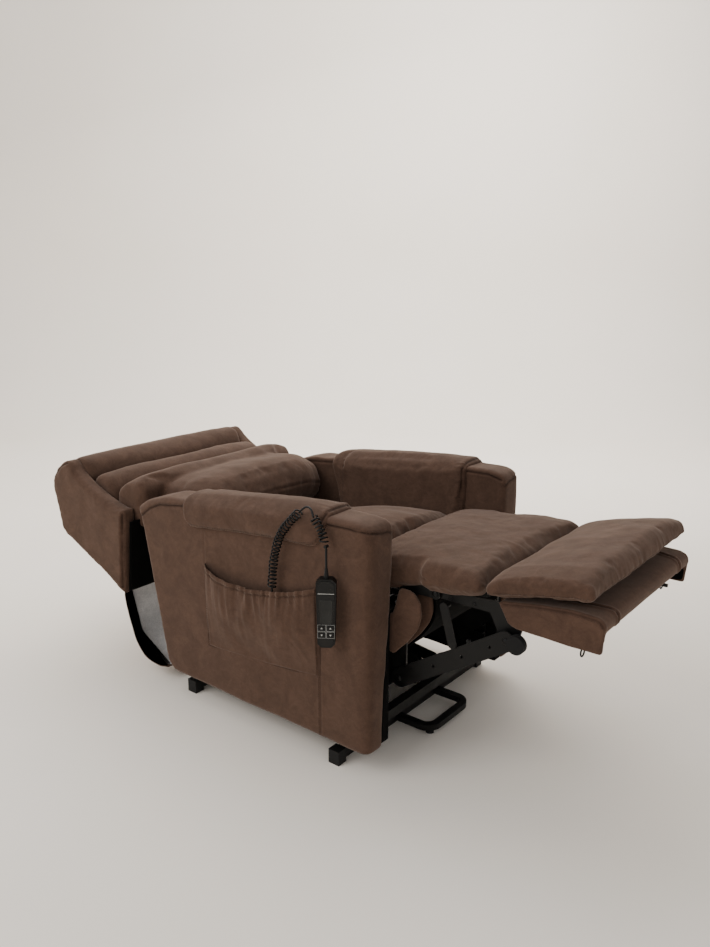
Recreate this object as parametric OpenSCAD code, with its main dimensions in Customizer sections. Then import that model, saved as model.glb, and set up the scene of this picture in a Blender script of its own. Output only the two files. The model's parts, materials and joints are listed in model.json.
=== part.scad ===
// Lift recliner chair, shown fully reclined with the footrest out.
// Millimetres. X is the width (the sitter's right is -X), the chair faces -Y, Z is up, the floor is z = 0.
// The origin is on the floor on the centre plane, between the front and the rear feet.

/* [Chair body] */
// Outside width over both arms
chair_w = 700; // [690:1:710]
// Width of one arm
arm_w = 95; // [90:1:98]
// Thickness of the padded overlay on an arm
pad_t = 7; // [5:0.5:8]
// Height of the arm's lower edge above the floor
arm_bottom_z = 63; // [60:1:66]

/* [Base] */
// Side of the square base tubes
tube = 25; // [22:1:26]
// Height of the base tubes above the floor
tube_lift = 8; // [6:1:9]
// Length of one plastic foot cap
cap_len = 30; // [26:1:32]

/* [Motion] */
// Angle through which the back rises from reclined to upright
back_swing = 62; // [55:1:62]
// Distance that the seat moves back as the back rises
seat_glide = 70; // [70:1:80]
// Radial clearance of every pivot pin in its bore
pin_gap = 0.05; // [0.03:0.01:0.1]

/* [Handset] */
// Length of the handset
handset_len = 165; // [150:1:175]
// Width of the handset at its top
handset_w = 46; // [44:1:50]
// Thickness of the handset's case
handset_t = 24; // [20:1:24]
// Turn of the hanging handset's face towards the front of the chair
handset_turn = 35; // [30:1:40]

/* [Hidden] */
$fn = 48;
half_w = chair_w / 2;
arm_in = half_w - arm_w;            // inner face of an arm
plate_t = 6;                        // steel side plates
link_t = 4;                         // pressed steel links
lift_pin_r = 8;
link_pin_r = 6;

// Pivot places as [y, z]
lift_rear_base = [-200, 60];        // lift arm on the base
lift_rear_top = [220, 90];          // lift arm on the chassis
lift_front_base = [-252, 69];       // front lift link on the base
lift_front_top = [50, 105];         // front lift link on the chassis
lift_motor_pin = [215, 62];
lift_rod_pin = [-40, 95];
back_pin = [280, 370];
back_lever_pin = [260, 300];
recline_motor_pin = [-120, 235];
foot_pin = [-502, 458];
low_link_pin = [-411, 222];         // lower footrest link on the seat plate
elbow = [-537, 303.3];              // where the lower and the upper footrest links meet
top_link_pin = [-690, 402];         // upper footrest link on the footrest bracket
swing_pin = [-315, 574];            // the handset's lead hangs from here

// Distances of the steel planes from the centre plane
plate_x = 216;
bracket_x = 209;
low_link_x = 224;
top_link_x = 229.5;
strut_x = 234.5;
lift_arm_x = 140;
base_ear_x = 156;
front_link_x = 166;
rail_x = 240;
side_bar_x = 155;

// ---------- helpers ----------

// Extrudes a [y, z] outline along X from x0 to x1
module slab(x0, x1, outline) {
  translate([x0, 0, 0]) rotate([90, 0, 90]) linear_extrude(x1 - x0) polygon(outline);
}

// The same slab on both sides of the centre plane
module slab_pair(x0, x1, outline) {
  slab(x0, x1, outline);
  slab(-x1, -x0, outline);
}

// Cylinder along X at the [y, z] place p
module rod_x(x0, x1, p, r) {
  translate([x0, p[0], p[1]]) rotate([0, 90, 0]) cylinder(r = r, h = x1 - x0);
}

module rod_x_pair(x0, x1, p, r) {
  rod_x(x0, x1, p, r);
  rod_x(-x1, -x0, p, r);
}

module box(x, y, z) {
  translate([x[0], y[0], z[0]]) cube([x[1] - x[0], y[1] - y[0], z[1] - z[0]]);
}

module box_pair(x, y, z) {
  box(x, y, z);
  box([-x[1], -x[0]], y, z);
}

// Flat bar with round ends between two pivots, in the plane x0..x1
module bar(x0, x1, a, b, r) {
  d = b - a;
  len = norm(d);
  n = [-d[1], d[0]] * (r / len);
  slab(x0, x1, [a + n, a - n, b - n, b + n]);
  rod_x(x0, x1, a, r);
  rod_x(x0, x1, b, r);
}

module bar_pair(x0, x1, a, b, r) {
  bar(x0, x1, a, b, r);
  bar(-x1, -x0, a, b, r);
}

// Band of thickness t along a chain of [y, z] points
function chain_side(p, t) = [for (i = [0 : len(p) - 1])
  let (a = p[max(i - 1, 0)], b = p[min(i + 1, len(p) - 1)], d = (b - a) / norm(b - a))
  p[i] + [-d[1], d[0]] * t];
function band(p, t) = concat(chain_side(p, t / 2),
  [for (i = [len(p) - 1 : -1 : 0]) chain_side(p, -t / 2)[i]]);

// ---------- outlines ----------

// Top line of an arm, from its rear corner to its front
arm_top = [[408, 520], [425, 516], [357, 551], [280, 574], [231, 576], [132, 589], [3, 606],
  [-171, 623], [-264, 628], [-361, 630], [-411, 622]];
arm_outline = concat(arm_top, [[-411, 67], [-405, arm_bottom_z], [273, arm_bottom_z], [304, 85], [390, 514]]);

// Top line of the padded overlay on an arm
pad_top = [[198, 578], [190, 594], [132, 603], [3, 620], [-171, 637], [-264, 640], [-284, 632]];

seat_outline = [[130, 408], [87, 423], [-65, 452], [-207, 466], [-306, 492], [-400, 514], [-461, 522],
  [-508, 520], [-508, 488], [-406, 474], [-396, 426], [-330, 402], [-280, 386], [125, 360]];
rail_cover_outline = [[-388, 292], [-408, 289], [-474, 371], [-483, 401], [-480, 436], [-462, 460],
  [-420, 462], [-404, 396], [-388, 388]];

// Outline of a wing: the side panel of the back
wing_outline = [[452, 498], [478, 251], [771, 379], [804, 516], [783, 551], [747, 582], [719, 600],
  [664, 560], [560, 522]];

// ---------- base ----------

base_front_y = -300;
base_mid_y = 0;
base_rear_y = 237;
tube_top = tube_lift + tube;
front_cap_x = 310;
rear_cap_x = 290;

// Square tube along X with open ends
module cross_tube(half, y) {
  wall = 2;
  difference() {
    box([-half, half], [y - tube / 2, y + tube / 2], [tube_lift, tube_top]);
    box([-half - 1, half + 1], [y - tube / 2 + wall, y + tube / 2 - wall],
        [tube_lift + wall, tube_top - wall]);
  }
}

module base_frame() color("#1b1b1c") {
  cross_tube(front_cap_x, base_front_y);
  cross_tube(side_bar_x, base_mid_y);
  cross_tube(rear_cap_x, base_rear_y);
  box_pair([side_bar_x, side_bar_x + tube], [base_front_y + tube / 2, base_rear_y - tube / 2],
      [tube_lift, tube_top]);
  // ears of the lift motor on the rear tube
  for (x = [-18, 12])
    difference() {
      slab(x, x + plate_t, [[205, 50], [205, 74], [225, 74], [245, tube_top - 1], [228, tube_top - 1]]);
      rod_x(x - 1, x + plate_t + 1, lift_motor_pin, link_pin_r + pin_gap);
    }
}

loop_half = 100;
loop_front_y = -426;
loop_r = 42;
loop_bar = 20;

// Loop in plan: a D with rounded front corners, with its legs running back to the front tube
module loop_plan(inset) {
  w = loop_half - inset;
  r = loop_r - inset;
  front = loop_front_y + inset;
  for (s = [-1, 1]) translate([s * (w - r), front + r]) circle(r);
  translate([-w, front + r]) square([2 * w, base_front_y - tube / 2 - 0.5 - front - r + inset]);
  translate([-w + r, front]) square([2 * (w - r), r]);
}

module base_front_loop() color("#1b1b1c") {
  translate([0, 0, 14]) linear_extrude(16) intersection() {
    difference() {
      loop_plan(0);
      loop_plan(loop_bar);
    }
    translate([-loop_half, loop_front_y]) square([2 * loop_half, base_front_y - tube / 2 - 0.5 - loop_front_y]);
  }
}

module foot_end_caps() color("#161616") {
  for (end = [[front_cap_x, base_front_y], [rear_cap_x, base_rear_y]])
    box_pair([end[0] + 0.5, end[0] + cap_len], [end[1] - 16, end[1] + 16], [0, tube_top + 4]);
}

// Rubber glides: two under the loop, one under the middle of the base
module loop_pads() color("#161616") {
  for (s = [-1, 1]) translate([s * 72, loop_front_y + 24, 0]) cylinder(r = 11, h = 13.5);
  translate([0, base_mid_y, 0]) cylinder(r = 11, h = tube_lift - 0.2);
}

module base_pivot_ears() color("#1b1b1c") {
  for (p = [lift_rear_base, lift_front_base])
    slab_pair(base_ear_x, base_ear_x + 8,
      [[p[0] - 24, tube_top + 0.2], [p[0] + 24, tube_top + 0.2], [p[0] + 12, p[1] + 14], [p[0] - 12, p[1] + 14]]);
  rod_x_pair(lift_arm_x - 1, base_ear_x, lift_rear_base, lift_pin_r);
  rod_x_pair(base_ear_x + 8, front_link_x + 10, lift_front_base, lift_pin_r);
}

module power_supply() color("#202124") {
  box([42, 115], [-20, 110], [tube_top + 1, 80]);
  box([55, 100], [-30, -20], [45, 65]);
}

// ---------- lift linkage ----------

lift_tube_p = [-80, 69];

module lift_arms() color("#1b1b1c") {
  difference() {
    bar_pair(lift_arm_x, lift_arm_x + 10, lift_rear_base, lift_rear_top, 17);
    for (p = [lift_rear_base, lift_rear_top])
      rod_x_pair(lift_arm_x - 1, lift_arm_x + 11, p, lift_pin_r + pin_gap);
  }
  rod_x(-lift_arm_x - 2, lift_arm_x + 2, lift_tube_p, 13);
  // lug for the lift motor's rod
  slab(12, 18, [[-88, 74], [-72, 68], [-34, 84], [-30, 102], [-48, 106]]);
}

module front_lift_links() color("#1b1b1c") {
  // the upper eye is wide: its pin is the open pivot of the lift linkage
  open_gap = 1.6;
  difference() {
    bar_pair(front_link_x, front_link_x + 8, lift_front_base, lift_front_top, 16);
    rod_x_pair(front_link_x - 1, front_link_x + 9, lift_front_base, lift_pin_r + pin_gap);
    rod_x_pair(front_link_x - 1, front_link_x + 9, lift_front_top, lift_pin_r + open_gap);
  }
}

// Points along a motor: from its pin a towards b, at distance s
function along(a, b, s) = a + (b - a) / norm(b - a) * s;

// Round bar of radius r from distance s0 to s1 on the line a to b, at width place x
module strut(x, a, b, s0, s1, r) {
  d = b - a;
  translate([x, along(a, b, s0)[0], along(a, b, s0)[1]])
    rotate([atan2(d[1], d[0]) - 90, 0, 0]) cylinder(r = r, h = s1 - s0);
}

rod_r = 9;

// Linear actuator body: gear head, round motor beside it, bored tube, eye at its pin
module actuator(x, a, b, tube_end, side) {
  difference() {
    union() {
      strut(x, a, b, 20, tube_end, 17);
      strut(x, a, b, 20, 62, 24);
      strut(x, a, b, 6, 22, 9);
    }
    strut(x, a, b, 60, tube_end + 1, rod_r + pin_gap);
  }
  strut(x + side * 46, a, b, 20, 128, 21);
  strut(x + side * 25, a, b, 22, 58, 14);
  rod_x(x - 5, x + 5, a, 13);
}

module lift_motor_housing() color("#232427") {
  actuator(0, lift_motor_pin, lift_rod_pin, 205, -1);
  rod_x(-20, 20, lift_motor_pin, link_pin_r);
}

module lift_rod() color("#b9bbbd") {
  strut(0, lift_motor_pin, lift_rod_pin, 64, 248, rod_r);
  rod_x(-8, 8, lift_rod_pin, 12);
}

// ---------- chassis and arms ----------

bolt_places = [[-330, 118], [-60, 118], [200, 118]];
bolt_r = 4;
bolt_head_r = 8;

module chassis_rails() color("#1b1b1c") {
  difference() {
    box_pair([rail_x, arm_in - 3], [-385, 250], [95, 140]);
    for (p = bolt_places) rod_x_pair(rail_x - 1, arm_in, p, bolt_r + pin_gap);
  }
}

// Inner face, lower flange and height of the seat's tracks
track_x = 235.5;
track_z = 160;
track_h = 27;

module chassis_cross_bars() color("#1b1b1c") {
  half = rail_x - 0.3;
  between_tracks = track_x - 0.3;
  box([-between_tracks, between_tracks], [-384, -360], [98, 124]);
  box([-between_tracks, between_tracks], [38, 62], [132, 150]);
  box([-half, half], [210, 240], [118, 138]);
}

// Plates that carry the chassis on the lift linkage
module chassis_pivot_plates() color("#1b1b1c") {
  rear_x = lift_arm_x + 13;
  slab_pair(rear_x, rear_x + 8, [[200, 76], [240, 76], [235, 117.5], [205, 117.5]]);
  rod_x_pair(lift_arm_x - 1, rear_x, lift_rear_top, lift_pin_r);
  front_x = front_link_x + 11;
  slab_pair(front_x, front_x + 6, [[34, 91], [66, 91], [62, 131.5], [38, 131.5]]);
  rod_x_pair(front_link_x - 1, front_x, lift_front_top, lift_pin_r);
}

// Channels, open towards the centre, in which the seat's rollers run
module seat_tracks() color("#1b1b1c") {
  difference() {
    box_pair([track_x, rail_x - 0.3], [-380, 150], [98, track_z + track_h]);
    // clearance for the heads of the arm bolts
    for (p = bolt_places) rod_x_pair(track_x - 1, rail_x, p, bolt_head_r + 0.5);
  }
  for (z = [track_z, track_z + track_h - 3])
    box_pair([224.5, track_x], [-380, 150], [z, z + 3]);
}

module arm_bolts() color("#8d8f92") {
  for (p = bolt_places) {
    rod_x_pair(rail_x - 7.2, rail_x - 4.7, p, bolt_head_r);
    rod_x_pair(rail_x - 4.7, arm_in + 22, p, bolt_r);
  }
}

// Body of one arm; side is -1 for the right and 1 for the left
module arm_shell(side) color("#5b473b") {
  difference() {
    slab(side < 0 ? -half_w : arm_in, side < 0 ? -arm_in : half_w, arm_outline);
    for (p = bolt_places) rod_x_pair(arm_in - 1, arm_in + 25, p, bolt_r + pin_gap);
  }
}

module arm_shell_right() arm_shell(-1);
module arm_shell_left() arm_shell(1);

// Padded overlay: a saddle over the top of the arm, with flaps on both sides
module arm_pad(side) color("#66503f") {
  lower = [[-284, 556], [-264, 553], [178, 506], [198, 520]];
  x0 = arm_in - pad_t;
  x1 = half_w + pad_t;
  gap = 0.5;
  grown_top = [for (p = arm_top) p + [0, gap]];
  mirror([side < 0 ? 1 : 0, 0, 0]) difference() {
    slab(x0, x1, concat(pad_top, lower));
    slab(arm_in - gap, half_w + gap, concat(grown_top, [[-411, 400], [390, 400]]));
  }
}

module arm_pad_right() arm_pad(-1);
module arm_pad_left() arm_pad(1);

// Black lining panel on the inner face of an arm
module arm_lining(side) color("#141414") {
  x = [arm_in - 2.5, arm_in - 0.5];
  front = [[-398, 72], [-398, 500], [-290, 500], [350, 420], [300, 90], [270, 72]];
  mirror([side < 0 ? 1 : 0, 0, 0]) difference() {
    slab(x[0], x[1], front);
    for (p = bolt_places) rod_x_pair(arm_in - 3, arm_in, p, bolt_r + 1);
  }
}

module arm_lining_right() arm_lining(-1);
module arm_lining_left() arm_lining(1);

// Gathered pocket on the outside of the right arm
module side_pocket() color("#5b473b") {
  mouth = [[-275, 456], [-200, 424], [-39, 403], [60, 406], [125, 423]];
  slab(-half_w - 12, -half_w - 0.5, concat(mouth, [[127, 190], [60, 192], [-262, 222]]));
}

// Rod with ball ends between two [x, y, z] points
module limb(a, b, r) {
  d = b - a;
  translate(a) rotate([0, acos(d[2] / norm(d)), atan2(d[1], d[0])]) cylinder(r = r, h = norm(d));
  translate(a) sphere(r);
  translate(b) sphere(r);
}

// Coiled lead: up from the pocket to the arm's top, then down to the handset's straight lead
module coil_cord() color("#111111") {
  r = 8.5;
  x = -half_w - pad_t - r - 1;
  knee = [x, -155, 528];
  limb([x, -139, 440], knee, r);
  limb(knee, [x, -205, 612], r);
  limb([x, -278, 618], [x, -302, 578], r);
}

// ---------- seat ----------

module seat_side_plates() color("#1b1b1c") {
  outline = [[-506, 447], [-455, 446], [-428, 400], [-425, 205], [-395, 205], [-350, 162], [-30, 162],
    [120, 250], [270, 352], [292, 366], [288, 384], [268, 384], [100, 352], [-365, 352], [-392, 398],
    [-410, 468], [-506, 469]];
  difference() {
    union() {
      slab_pair(plate_x, plate_x + plate_t, outline);
      for (p = [foot_pin, back_pin]) rod_x_pair(plate_x, plate_x + plate_t, p, 13);
    }
    // lightening holes
    for (y = [-330 : 90 : 30]) rod_x_pair(plate_x - 1, plate_x + 7, [y, 270], 22);
  }
  rod_x_pair(bracket_x - 1, plate_x, foot_pin, link_pin_r);
  rod_x_pair(bracket_x - 1, plate_x, back_pin, lift_pin_r);
  rod_x_pair(plate_x + plate_t, low_link_x + link_t + 1, low_link_pin, link_pin_r);
}

seat_bar_front = [-360, 330];
seat_bar_rear = [105, 325];
motor_bar = [-120, 205];

module seat_cross_bars() color("#1b1b1c") {
  half = plate_x - 0.2;
  for (p = [seat_bar_front, seat_bar_rear, motor_bar]) rod_x(-half, half, p, 11);
  // ears of the recline motor
  for (x = [42, 72])
    difference() {
      bar(x, x + plate_t, motor_bar, recline_motor_pin, 12);
      rod_x(x - 1, x + plate_t + 1, recline_motor_pin, link_pin_r + pin_gap);
    }
}

// Sinuous springs: straight wires across, joined at alternate ends
module seat_springs() color("#8d8f92") {
  wire = 1.8;
  half_span = 22;
  pitch = 36;
  y0 = -340;
  runs = 11;
  for (x = [-160 : 80 : 160]) for (i = [0 : runs]) {
    translate([x - half_span, y0 + i * pitch, 345]) rotate([0, 90, 0]) cylinder(r = wire, h = 2 * half_span);
    if (i < runs)
      translate([x + (i % 2 == 0 ? -half_span : half_span), y0 + i * pitch, 345])
        rotate([-90, 0, 0]) cylinder(r = wire, h = pitch);
  }
}

module seat_rollers() color("#2a2a2c") {
  for (y = [-325, -55]) {
    rod_x_pair(226, 233, [y, track_z + track_h / 2], 9.8);
    rod_x_pair(plate_x + plate_t + 0.2, 226, [y, track_z + track_h / 2], 5);
  }
}

module seat_cushion() color("#5f4a3d") slab(-arm_in + 5, arm_in - 5, seat_outline);

// Upholstered front of the seat; the footrest's links pass through its two slots
module front_rail_cover() color("#5b473b") {
  slot_in = 206;
  slot_out = 238.5;
  slab(-slot_in, slot_in, rail_cover_outline);
  slab_pair(slot_out, arm_in - 4, rail_cover_outline);
}

// Fabric flap that closes the rear between the back and the floor
module rear_flap() color("#5b473b") {
  curve = [[521, 221], [513, 175], [486, 100], [460, 66], [430, 46], [377, 39], [340, 45]];
  slab(-half_w + 28, half_w - 28, band(curve, 5));
}

// ---------- footrest ----------

board_outline = [[-674, 497], [-700, 452], [-716, 443], [-890, 443], [-906, 446], [-912, 480], [-912, 508],
  [-900, 520], [-840, 522], [-760, 512]];

module footrest_brackets() color("#1b1b1c") {
  arm_outline_low = [[-502, 449], [-640, 449], [-672, 388], [-706, 388], [-718, 430], [-690, 440],
    [-674, 470], [-650, 480], [-502, 467]];
  difference() {
    union() {
      slab_pair(bracket_x, bracket_x + plate_t, arm_outline_low);
      rod_x_pair(bracket_x, bracket_x + plate_t, foot_pin, 12);
      // flat bars under the board
      slab_pair(bracket_x, bracket_x + plate_t, [[-700, 428], [-700, 441.5], [-880, 441.5], [-880, 434]]);
    }
    rod_x_pair(bracket_x - 1, bracket_x + 7, foot_pin, link_pin_r + pin_gap);
  }
  rod_x_pair(bracket_x + plate_t, top_link_x + link_t + 1, top_link_pin, link_pin_r);
  rod_x_pair(bracket_x + plate_t, strut_x, [-536, 440], 5);
}

module footrest_cross_bar() color("#1b1b1c") {
  box([-bracket_x + 0.3, bracket_x - 0.3], [-690, -655], [400, 436]);
}

module footrest_board() color("#5b473b") slab(-252, 252, board_outline);

module extension_pad() color("#5f4a3d") {
  slab(-arm_in + 5, arm_in - 5, [[-520, 488], [-520, 522], [-645, 526], [-645, 498], [-600, 492]]);
}

module leg_pad() color("#66503f") {
  slab(-272, 272, [[-650, 510], [-650, 528], [-678, 550], [-729, 565], [-803, 585], [-866, 596],
    [-884, 583], [-886, 560], [-870, 552], [-760, 530], [-690, 512]]);
}

module footrest_bumpers() color("#101010") {
  place = [-720, 407];
  inner = top_link_x + link_t + 0.7;
  rod_x_pair(inner, inner + 15, place, 21);
  // post past the link to the bracket
  rod_x_pair(bracket_x + plate_t + 0.2, inner, place, 5);
}

module footrest_struts() color("#1b1b1c") {
  bar_pair(strut_x + 0.2, strut_x + 3.2, [-536, 440], [-560, 357], 11);
}

ring_r = 9;

module footrest_eye_rings() color("#8d8f92") {
  for (x = [-229, 229]) translate([x, -860, 429]) rotate([90, 0, 0])
    rotate_extrude() translate([ring_r, 0]) circle(1.8);
}

module lower_footrest_links() color("#1b1b1c") {
  difference() {
    bar_pair(low_link_x, low_link_x + link_t, low_link_pin, elbow, 23);
    rod_x_pair(low_link_x - 1, low_link_x + link_t + 1, low_link_pin, link_pin_r + pin_gap);
    rod_x_pair(low_link_x - 1, low_link_x + link_t + 1, low_link_pin + (elbow - low_link_pin) * 0.75, 4);
  }
}

module upper_footrest_links() color("#1b1b1c") {
  difference() {
    bar_pair(top_link_x, top_link_x + link_t, elbow, top_link_pin, 23);
    rod_x_pair(top_link_x - 1, top_link_x + link_t + 1, top_link_pin, link_pin_r + pin_gap);
    for (s = [0.3, 0.75])
      rod_x_pair(top_link_x - 1, top_link_x + link_t + 1, elbow + (top_link_pin - elbow) * s, 4);
  }
}

// ---------- recline motor ----------

recline_x = 60;

module recline_motor_housing() color("#232427") {
  actuator(recline_x, recline_motor_pin, back_lever_pin, 300, -1);
  rod_x(recline_x - 20, recline_x + 20, recline_motor_pin, link_pin_r);
}

module recline_rod() color("#b9bbbd") {
  strut(recline_x, recline_motor_pin, back_lever_pin, 64, 376, rod_r);
  rod_x(recline_x - 8, recline_x + 8, back_lever_pin, 11);
}

// ---------- back ----------

lever_tube = [310, 340];

module back_hinge_brackets() color("#1b1b1c") {
  difference() {
    union() {
      rod_x_pair(bracket_x, bracket_x + plate_t, back_pin, 14);
      slab_pair(bracket_x, bracket_x + plate_t, [[272, 358], [320, 322], [500, 372], [500, 408], [290, 384]]);
    }
    rod_x_pair(bracket_x - 1, bracket_x + 7, back_pin, lift_pin_r + pin_gap);
  }
  rod_x(-bracket_x, bracket_x, lever_tube, 11);
  bar(recline_x + 10, recline_x + 16, lever_tube, back_lever_pin, 11);
}

// Wooden frame of the back: two side rails and three cross rails
module back_frame() color("#c8a873") {
  rail = [[492, 330], [752, 442], [752, 484], [502, 374], [492, 350]];
  slab_pair(bracket_x + plate_t + 0.5, 245, rail);
  for (p = [[510, 352], [625, 400], [735, 448]])
    translate([0, p[0], p[1]]) rotate([23.6, 0, 0])
      translate([-bracket_x - plate_t - 0.3, 0, -14]) cube([2 * bracket_x + 2 * plate_t + 0.6, 18, 28]);
}

module back_springs() color("#8d8f92") {
  wire = 1.8;
  pitch = 18;
  a = [522, 380];
  lean = 23.6;
  for (x = [-120, 0, 120]) for (i = [0 : 11]) translate([x, a[0], a[1]]) rotate([lean, 0, 0]) {
    translate([-24, i * pitch, 0]) rotate([0, 90, 0]) cylinder(r = wire, h = 48);
    if (i < 11) translate([i % 2 == 0 ? -24 : 24, i * pitch, 0]) rotate([-90, 0, 0]) cylinder(r = wire, h = pitch);
  }
}

// Outer cover of the back: its rear face and its rounded top end
module back_shell() color("#5b473b") {
  slab(-half_w + 42, half_w - 42, [[480, 255], [768, 381], [800, 516], [781, 549], [768, 556],
    [770, 540], [786, 514], [757, 393], [482, 268]]);
}

module back_wing(side) color("#5b473b") {
  mirror([side < 0 ? 1 : 0, 0, 0]) slab(half_w - 40, half_w, wing_outline);
}

module back_wing_right() back_wing(-1);
module back_wing_left() back_wing(1);

// Lumbar cushion: a narrow part that lies between the arms and a full-width part above them
module lumbar_cushion() color("#66503f") {
  slab(-arm_in + 14, arm_in - 14, [[218, 490], [236, 461], [262, 440], [300, 425], [470, 425], [470, 600],
    [330, 630], [268, 614], [246, 566], [249, 522]]);
  slab(-half_w + 44, half_w - 44, [[464, 440], [470, 425], [546, 452], [556, 520], [548, 566], [458, 600]]);
}

module middle_bolster() color("#66503f") {
  slab(-half_w + 44, half_w - 44, [[560, 455], [648, 492], [654, 548], [630, 580], [590, 582], [560, 560]]);
}

module head_bolster() color("#66503f") {
  slab(-half_w + 44, half_w - 44, [[662, 498], [740, 515], [762, 540], [764, 570], [742, 604], [712, 624],
    [684, 612], [662, 585]]);
}

// ---------- handset ----------

hand_place = [-381, swing_pin[0], 0];  // centre line of the case
hand_top = 500;
hand_bottom = hand_top - handset_len;
face_t = 1.5;
key_w = 15;
key_h = 12;
key_pitch = [20, 17];
key_z = hand_top - 116;

// Turns the handset's own frame, with its face towards -X, into place
module hung() {
  translate(hand_place) rotate([0, 0, handset_turn]) children();
}

// Box of a button or of its well: col and row place it, grow widens it
module key_box(col, row, x0, x1, grow) {
  y = (0.5 - col) * key_pitch[0];
  z = key_z - row * key_pitch[1];
  box([x0, x1], [y - key_w / 2 - grow, y + key_w / 2 + grow], [z - key_h / 2 - grow, z + key_h / 2 + grow]);
}

module key_wells() {
  for (col = [0, 1]) for (row = [0, 1])
    key_box(col, row, -handset_t / 2 - face_t - 1, -handset_t / 2 + 4, 0.5);
}

module handset_outline_slab(x0, x1, inset) {
  top = handset_w / 2 - inset;
  low = top - 3;
  corner = 9;
  slab(x0, x1, [[-low, hand_bottom + inset + corner], [-low + corner, hand_bottom + inset],
    [low - corner, hand_bottom + inset], [low, hand_bottom + inset + corner],
    [top, hand_top - inset - corner], [top - corner, hand_top - inset],
    [corner - top, hand_top - inset], [-top, hand_top - inset - corner]]);
}

module handset_case() color("#262629") hung() difference() {
  handset_outline_slab(-handset_t / 2, handset_t / 2, 0);
  key_wells();
}

module handset_face() color("#303033") hung() difference() {
  handset_outline_slab(-handset_t / 2 - face_t, -handset_t / 2 - 0.1, 4);
  key_wells();
}

module handset_lead() color("#111111") {
  hung() {
    translate([0, 0, hand_top + 0.2]) cylinder(r1 = 6, r2 = 3.5, h = 22);
    translate([0, 0, hand_top + 20]) cylinder(r = 2.6, h = swing_pin[1] - hand_top - 20);
  }
  // the lead bends here as the handset swings
  rod_x(hand_place[0] - 5, hand_place[0] + 5, swing_pin, 3.5);
}

module handset_button(col, row) color("#3a3a3e") hung()
  key_box(col, row, -handset_t / 2 - face_t - 1.5, -handset_t / 2 + 2.5, 0);

module button_back_up() handset_button(0, 0);
module button_back_down() handset_button(0, 1);
module button_legs_up() handset_button(1, 0);
module button_legs_down() handset_button(1, 1);

base_frame();
base_front_loop();
foot_end_caps();
loop_pads();
base_pivot_ears();
power_supply();
lift_arms();
front_lift_links();
lift_motor_housing();
lift_rod();
chassis_rails();
chassis_cross_bars();
chassis_pivot_plates();
seat_tracks();
arm_bolts();
arm_shell_right();
arm_shell_left();
arm_pad_right();
arm_pad_left();
arm_lining_right();
arm_lining_left();
side_pocket();
coil_cord();
seat_side_plates();
seat_cross_bars();
seat_springs();
seat_rollers();
seat_cushion();
front_rail_cover();
rear_flap();
footrest_brackets();
footrest_cross_bar();
footrest_board();
extension_pad();
leg_pad();
footrest_bumpers();
footrest_struts();
footrest_eye_rings();
lower_footrest_links();
upper_footrest_links();
recline_motor_housing();
recline_rod();
back_hinge_brackets();
back_frame();
back_springs();
back_shell();
back_wing_right();
back_wing_left();
lumbar_cushion();
middle_bolster();
head_bolster();
handset_case();
handset_face();
handset_lead();
button_back_up();
button_back_down();
button_legs_up();
button_legs_down();
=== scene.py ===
"""Lift recliner chair: the looks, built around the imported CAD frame.

Lengths in this script are millimetres in the CAD frame until solid(), tube_mesh() and mesh_object()
write them as metres. X is the width (the near arm, with the pocket, is -X), the chair faces -Y, Z is up.
"""
import json
import math

import bmesh
import bpy
import numpy as np
from mathutils import Matrix, Vector
from mathutils.bvhtree import BVHTree


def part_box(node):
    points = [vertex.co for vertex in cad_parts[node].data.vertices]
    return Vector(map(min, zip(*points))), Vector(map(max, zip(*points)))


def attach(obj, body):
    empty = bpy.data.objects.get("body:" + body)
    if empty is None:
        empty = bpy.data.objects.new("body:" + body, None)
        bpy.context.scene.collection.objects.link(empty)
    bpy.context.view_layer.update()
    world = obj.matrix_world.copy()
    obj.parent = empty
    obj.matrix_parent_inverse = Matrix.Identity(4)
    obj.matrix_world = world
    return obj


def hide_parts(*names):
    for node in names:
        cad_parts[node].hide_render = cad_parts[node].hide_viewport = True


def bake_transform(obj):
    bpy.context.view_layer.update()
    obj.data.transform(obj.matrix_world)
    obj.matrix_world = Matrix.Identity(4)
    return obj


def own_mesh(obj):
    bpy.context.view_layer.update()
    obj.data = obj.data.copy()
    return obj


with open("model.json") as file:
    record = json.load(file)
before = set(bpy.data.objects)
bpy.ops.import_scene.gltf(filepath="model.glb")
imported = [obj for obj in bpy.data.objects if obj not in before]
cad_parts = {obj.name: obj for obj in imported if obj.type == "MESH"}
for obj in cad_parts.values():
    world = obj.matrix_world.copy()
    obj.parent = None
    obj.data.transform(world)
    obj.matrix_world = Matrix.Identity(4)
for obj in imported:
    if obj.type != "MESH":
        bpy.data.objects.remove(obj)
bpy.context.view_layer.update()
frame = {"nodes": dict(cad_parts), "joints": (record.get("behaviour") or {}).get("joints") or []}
scene = bpy.context.scene
MM = 0.001


# ---------------------------------------------------------------- places taken from the frame

def span(node):
    """(low, high) corners of a CAD node in millimetres, as arrays."""
    low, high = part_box(node)
    return np.array(low) / MM, np.array(high) / MM


def joint_place(name):
    """Place of a hinge in millimetres."""
    found = [j for j in frame["joints"] if j["name"] == name][0]
    return np.array(found["pos_m"]) / MM


ARM_LOW, ARM_HIGH = span("arm_shell_left")
HALF_W = ARM_HIGH[0]
ARM_IN = ARM_LOW[0]
ARM_FRONT = ARM_LOW[1]
ARM_FLOOR = ARM_LOW[2]
WING_IN = span("back_wing_left")[0][0]
BACK_PIN = joint_place("back_recline")
FOOT_PIN = joint_place("footrest_fold")


# ---------------------------------------------------------------- curves and numbers

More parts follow.
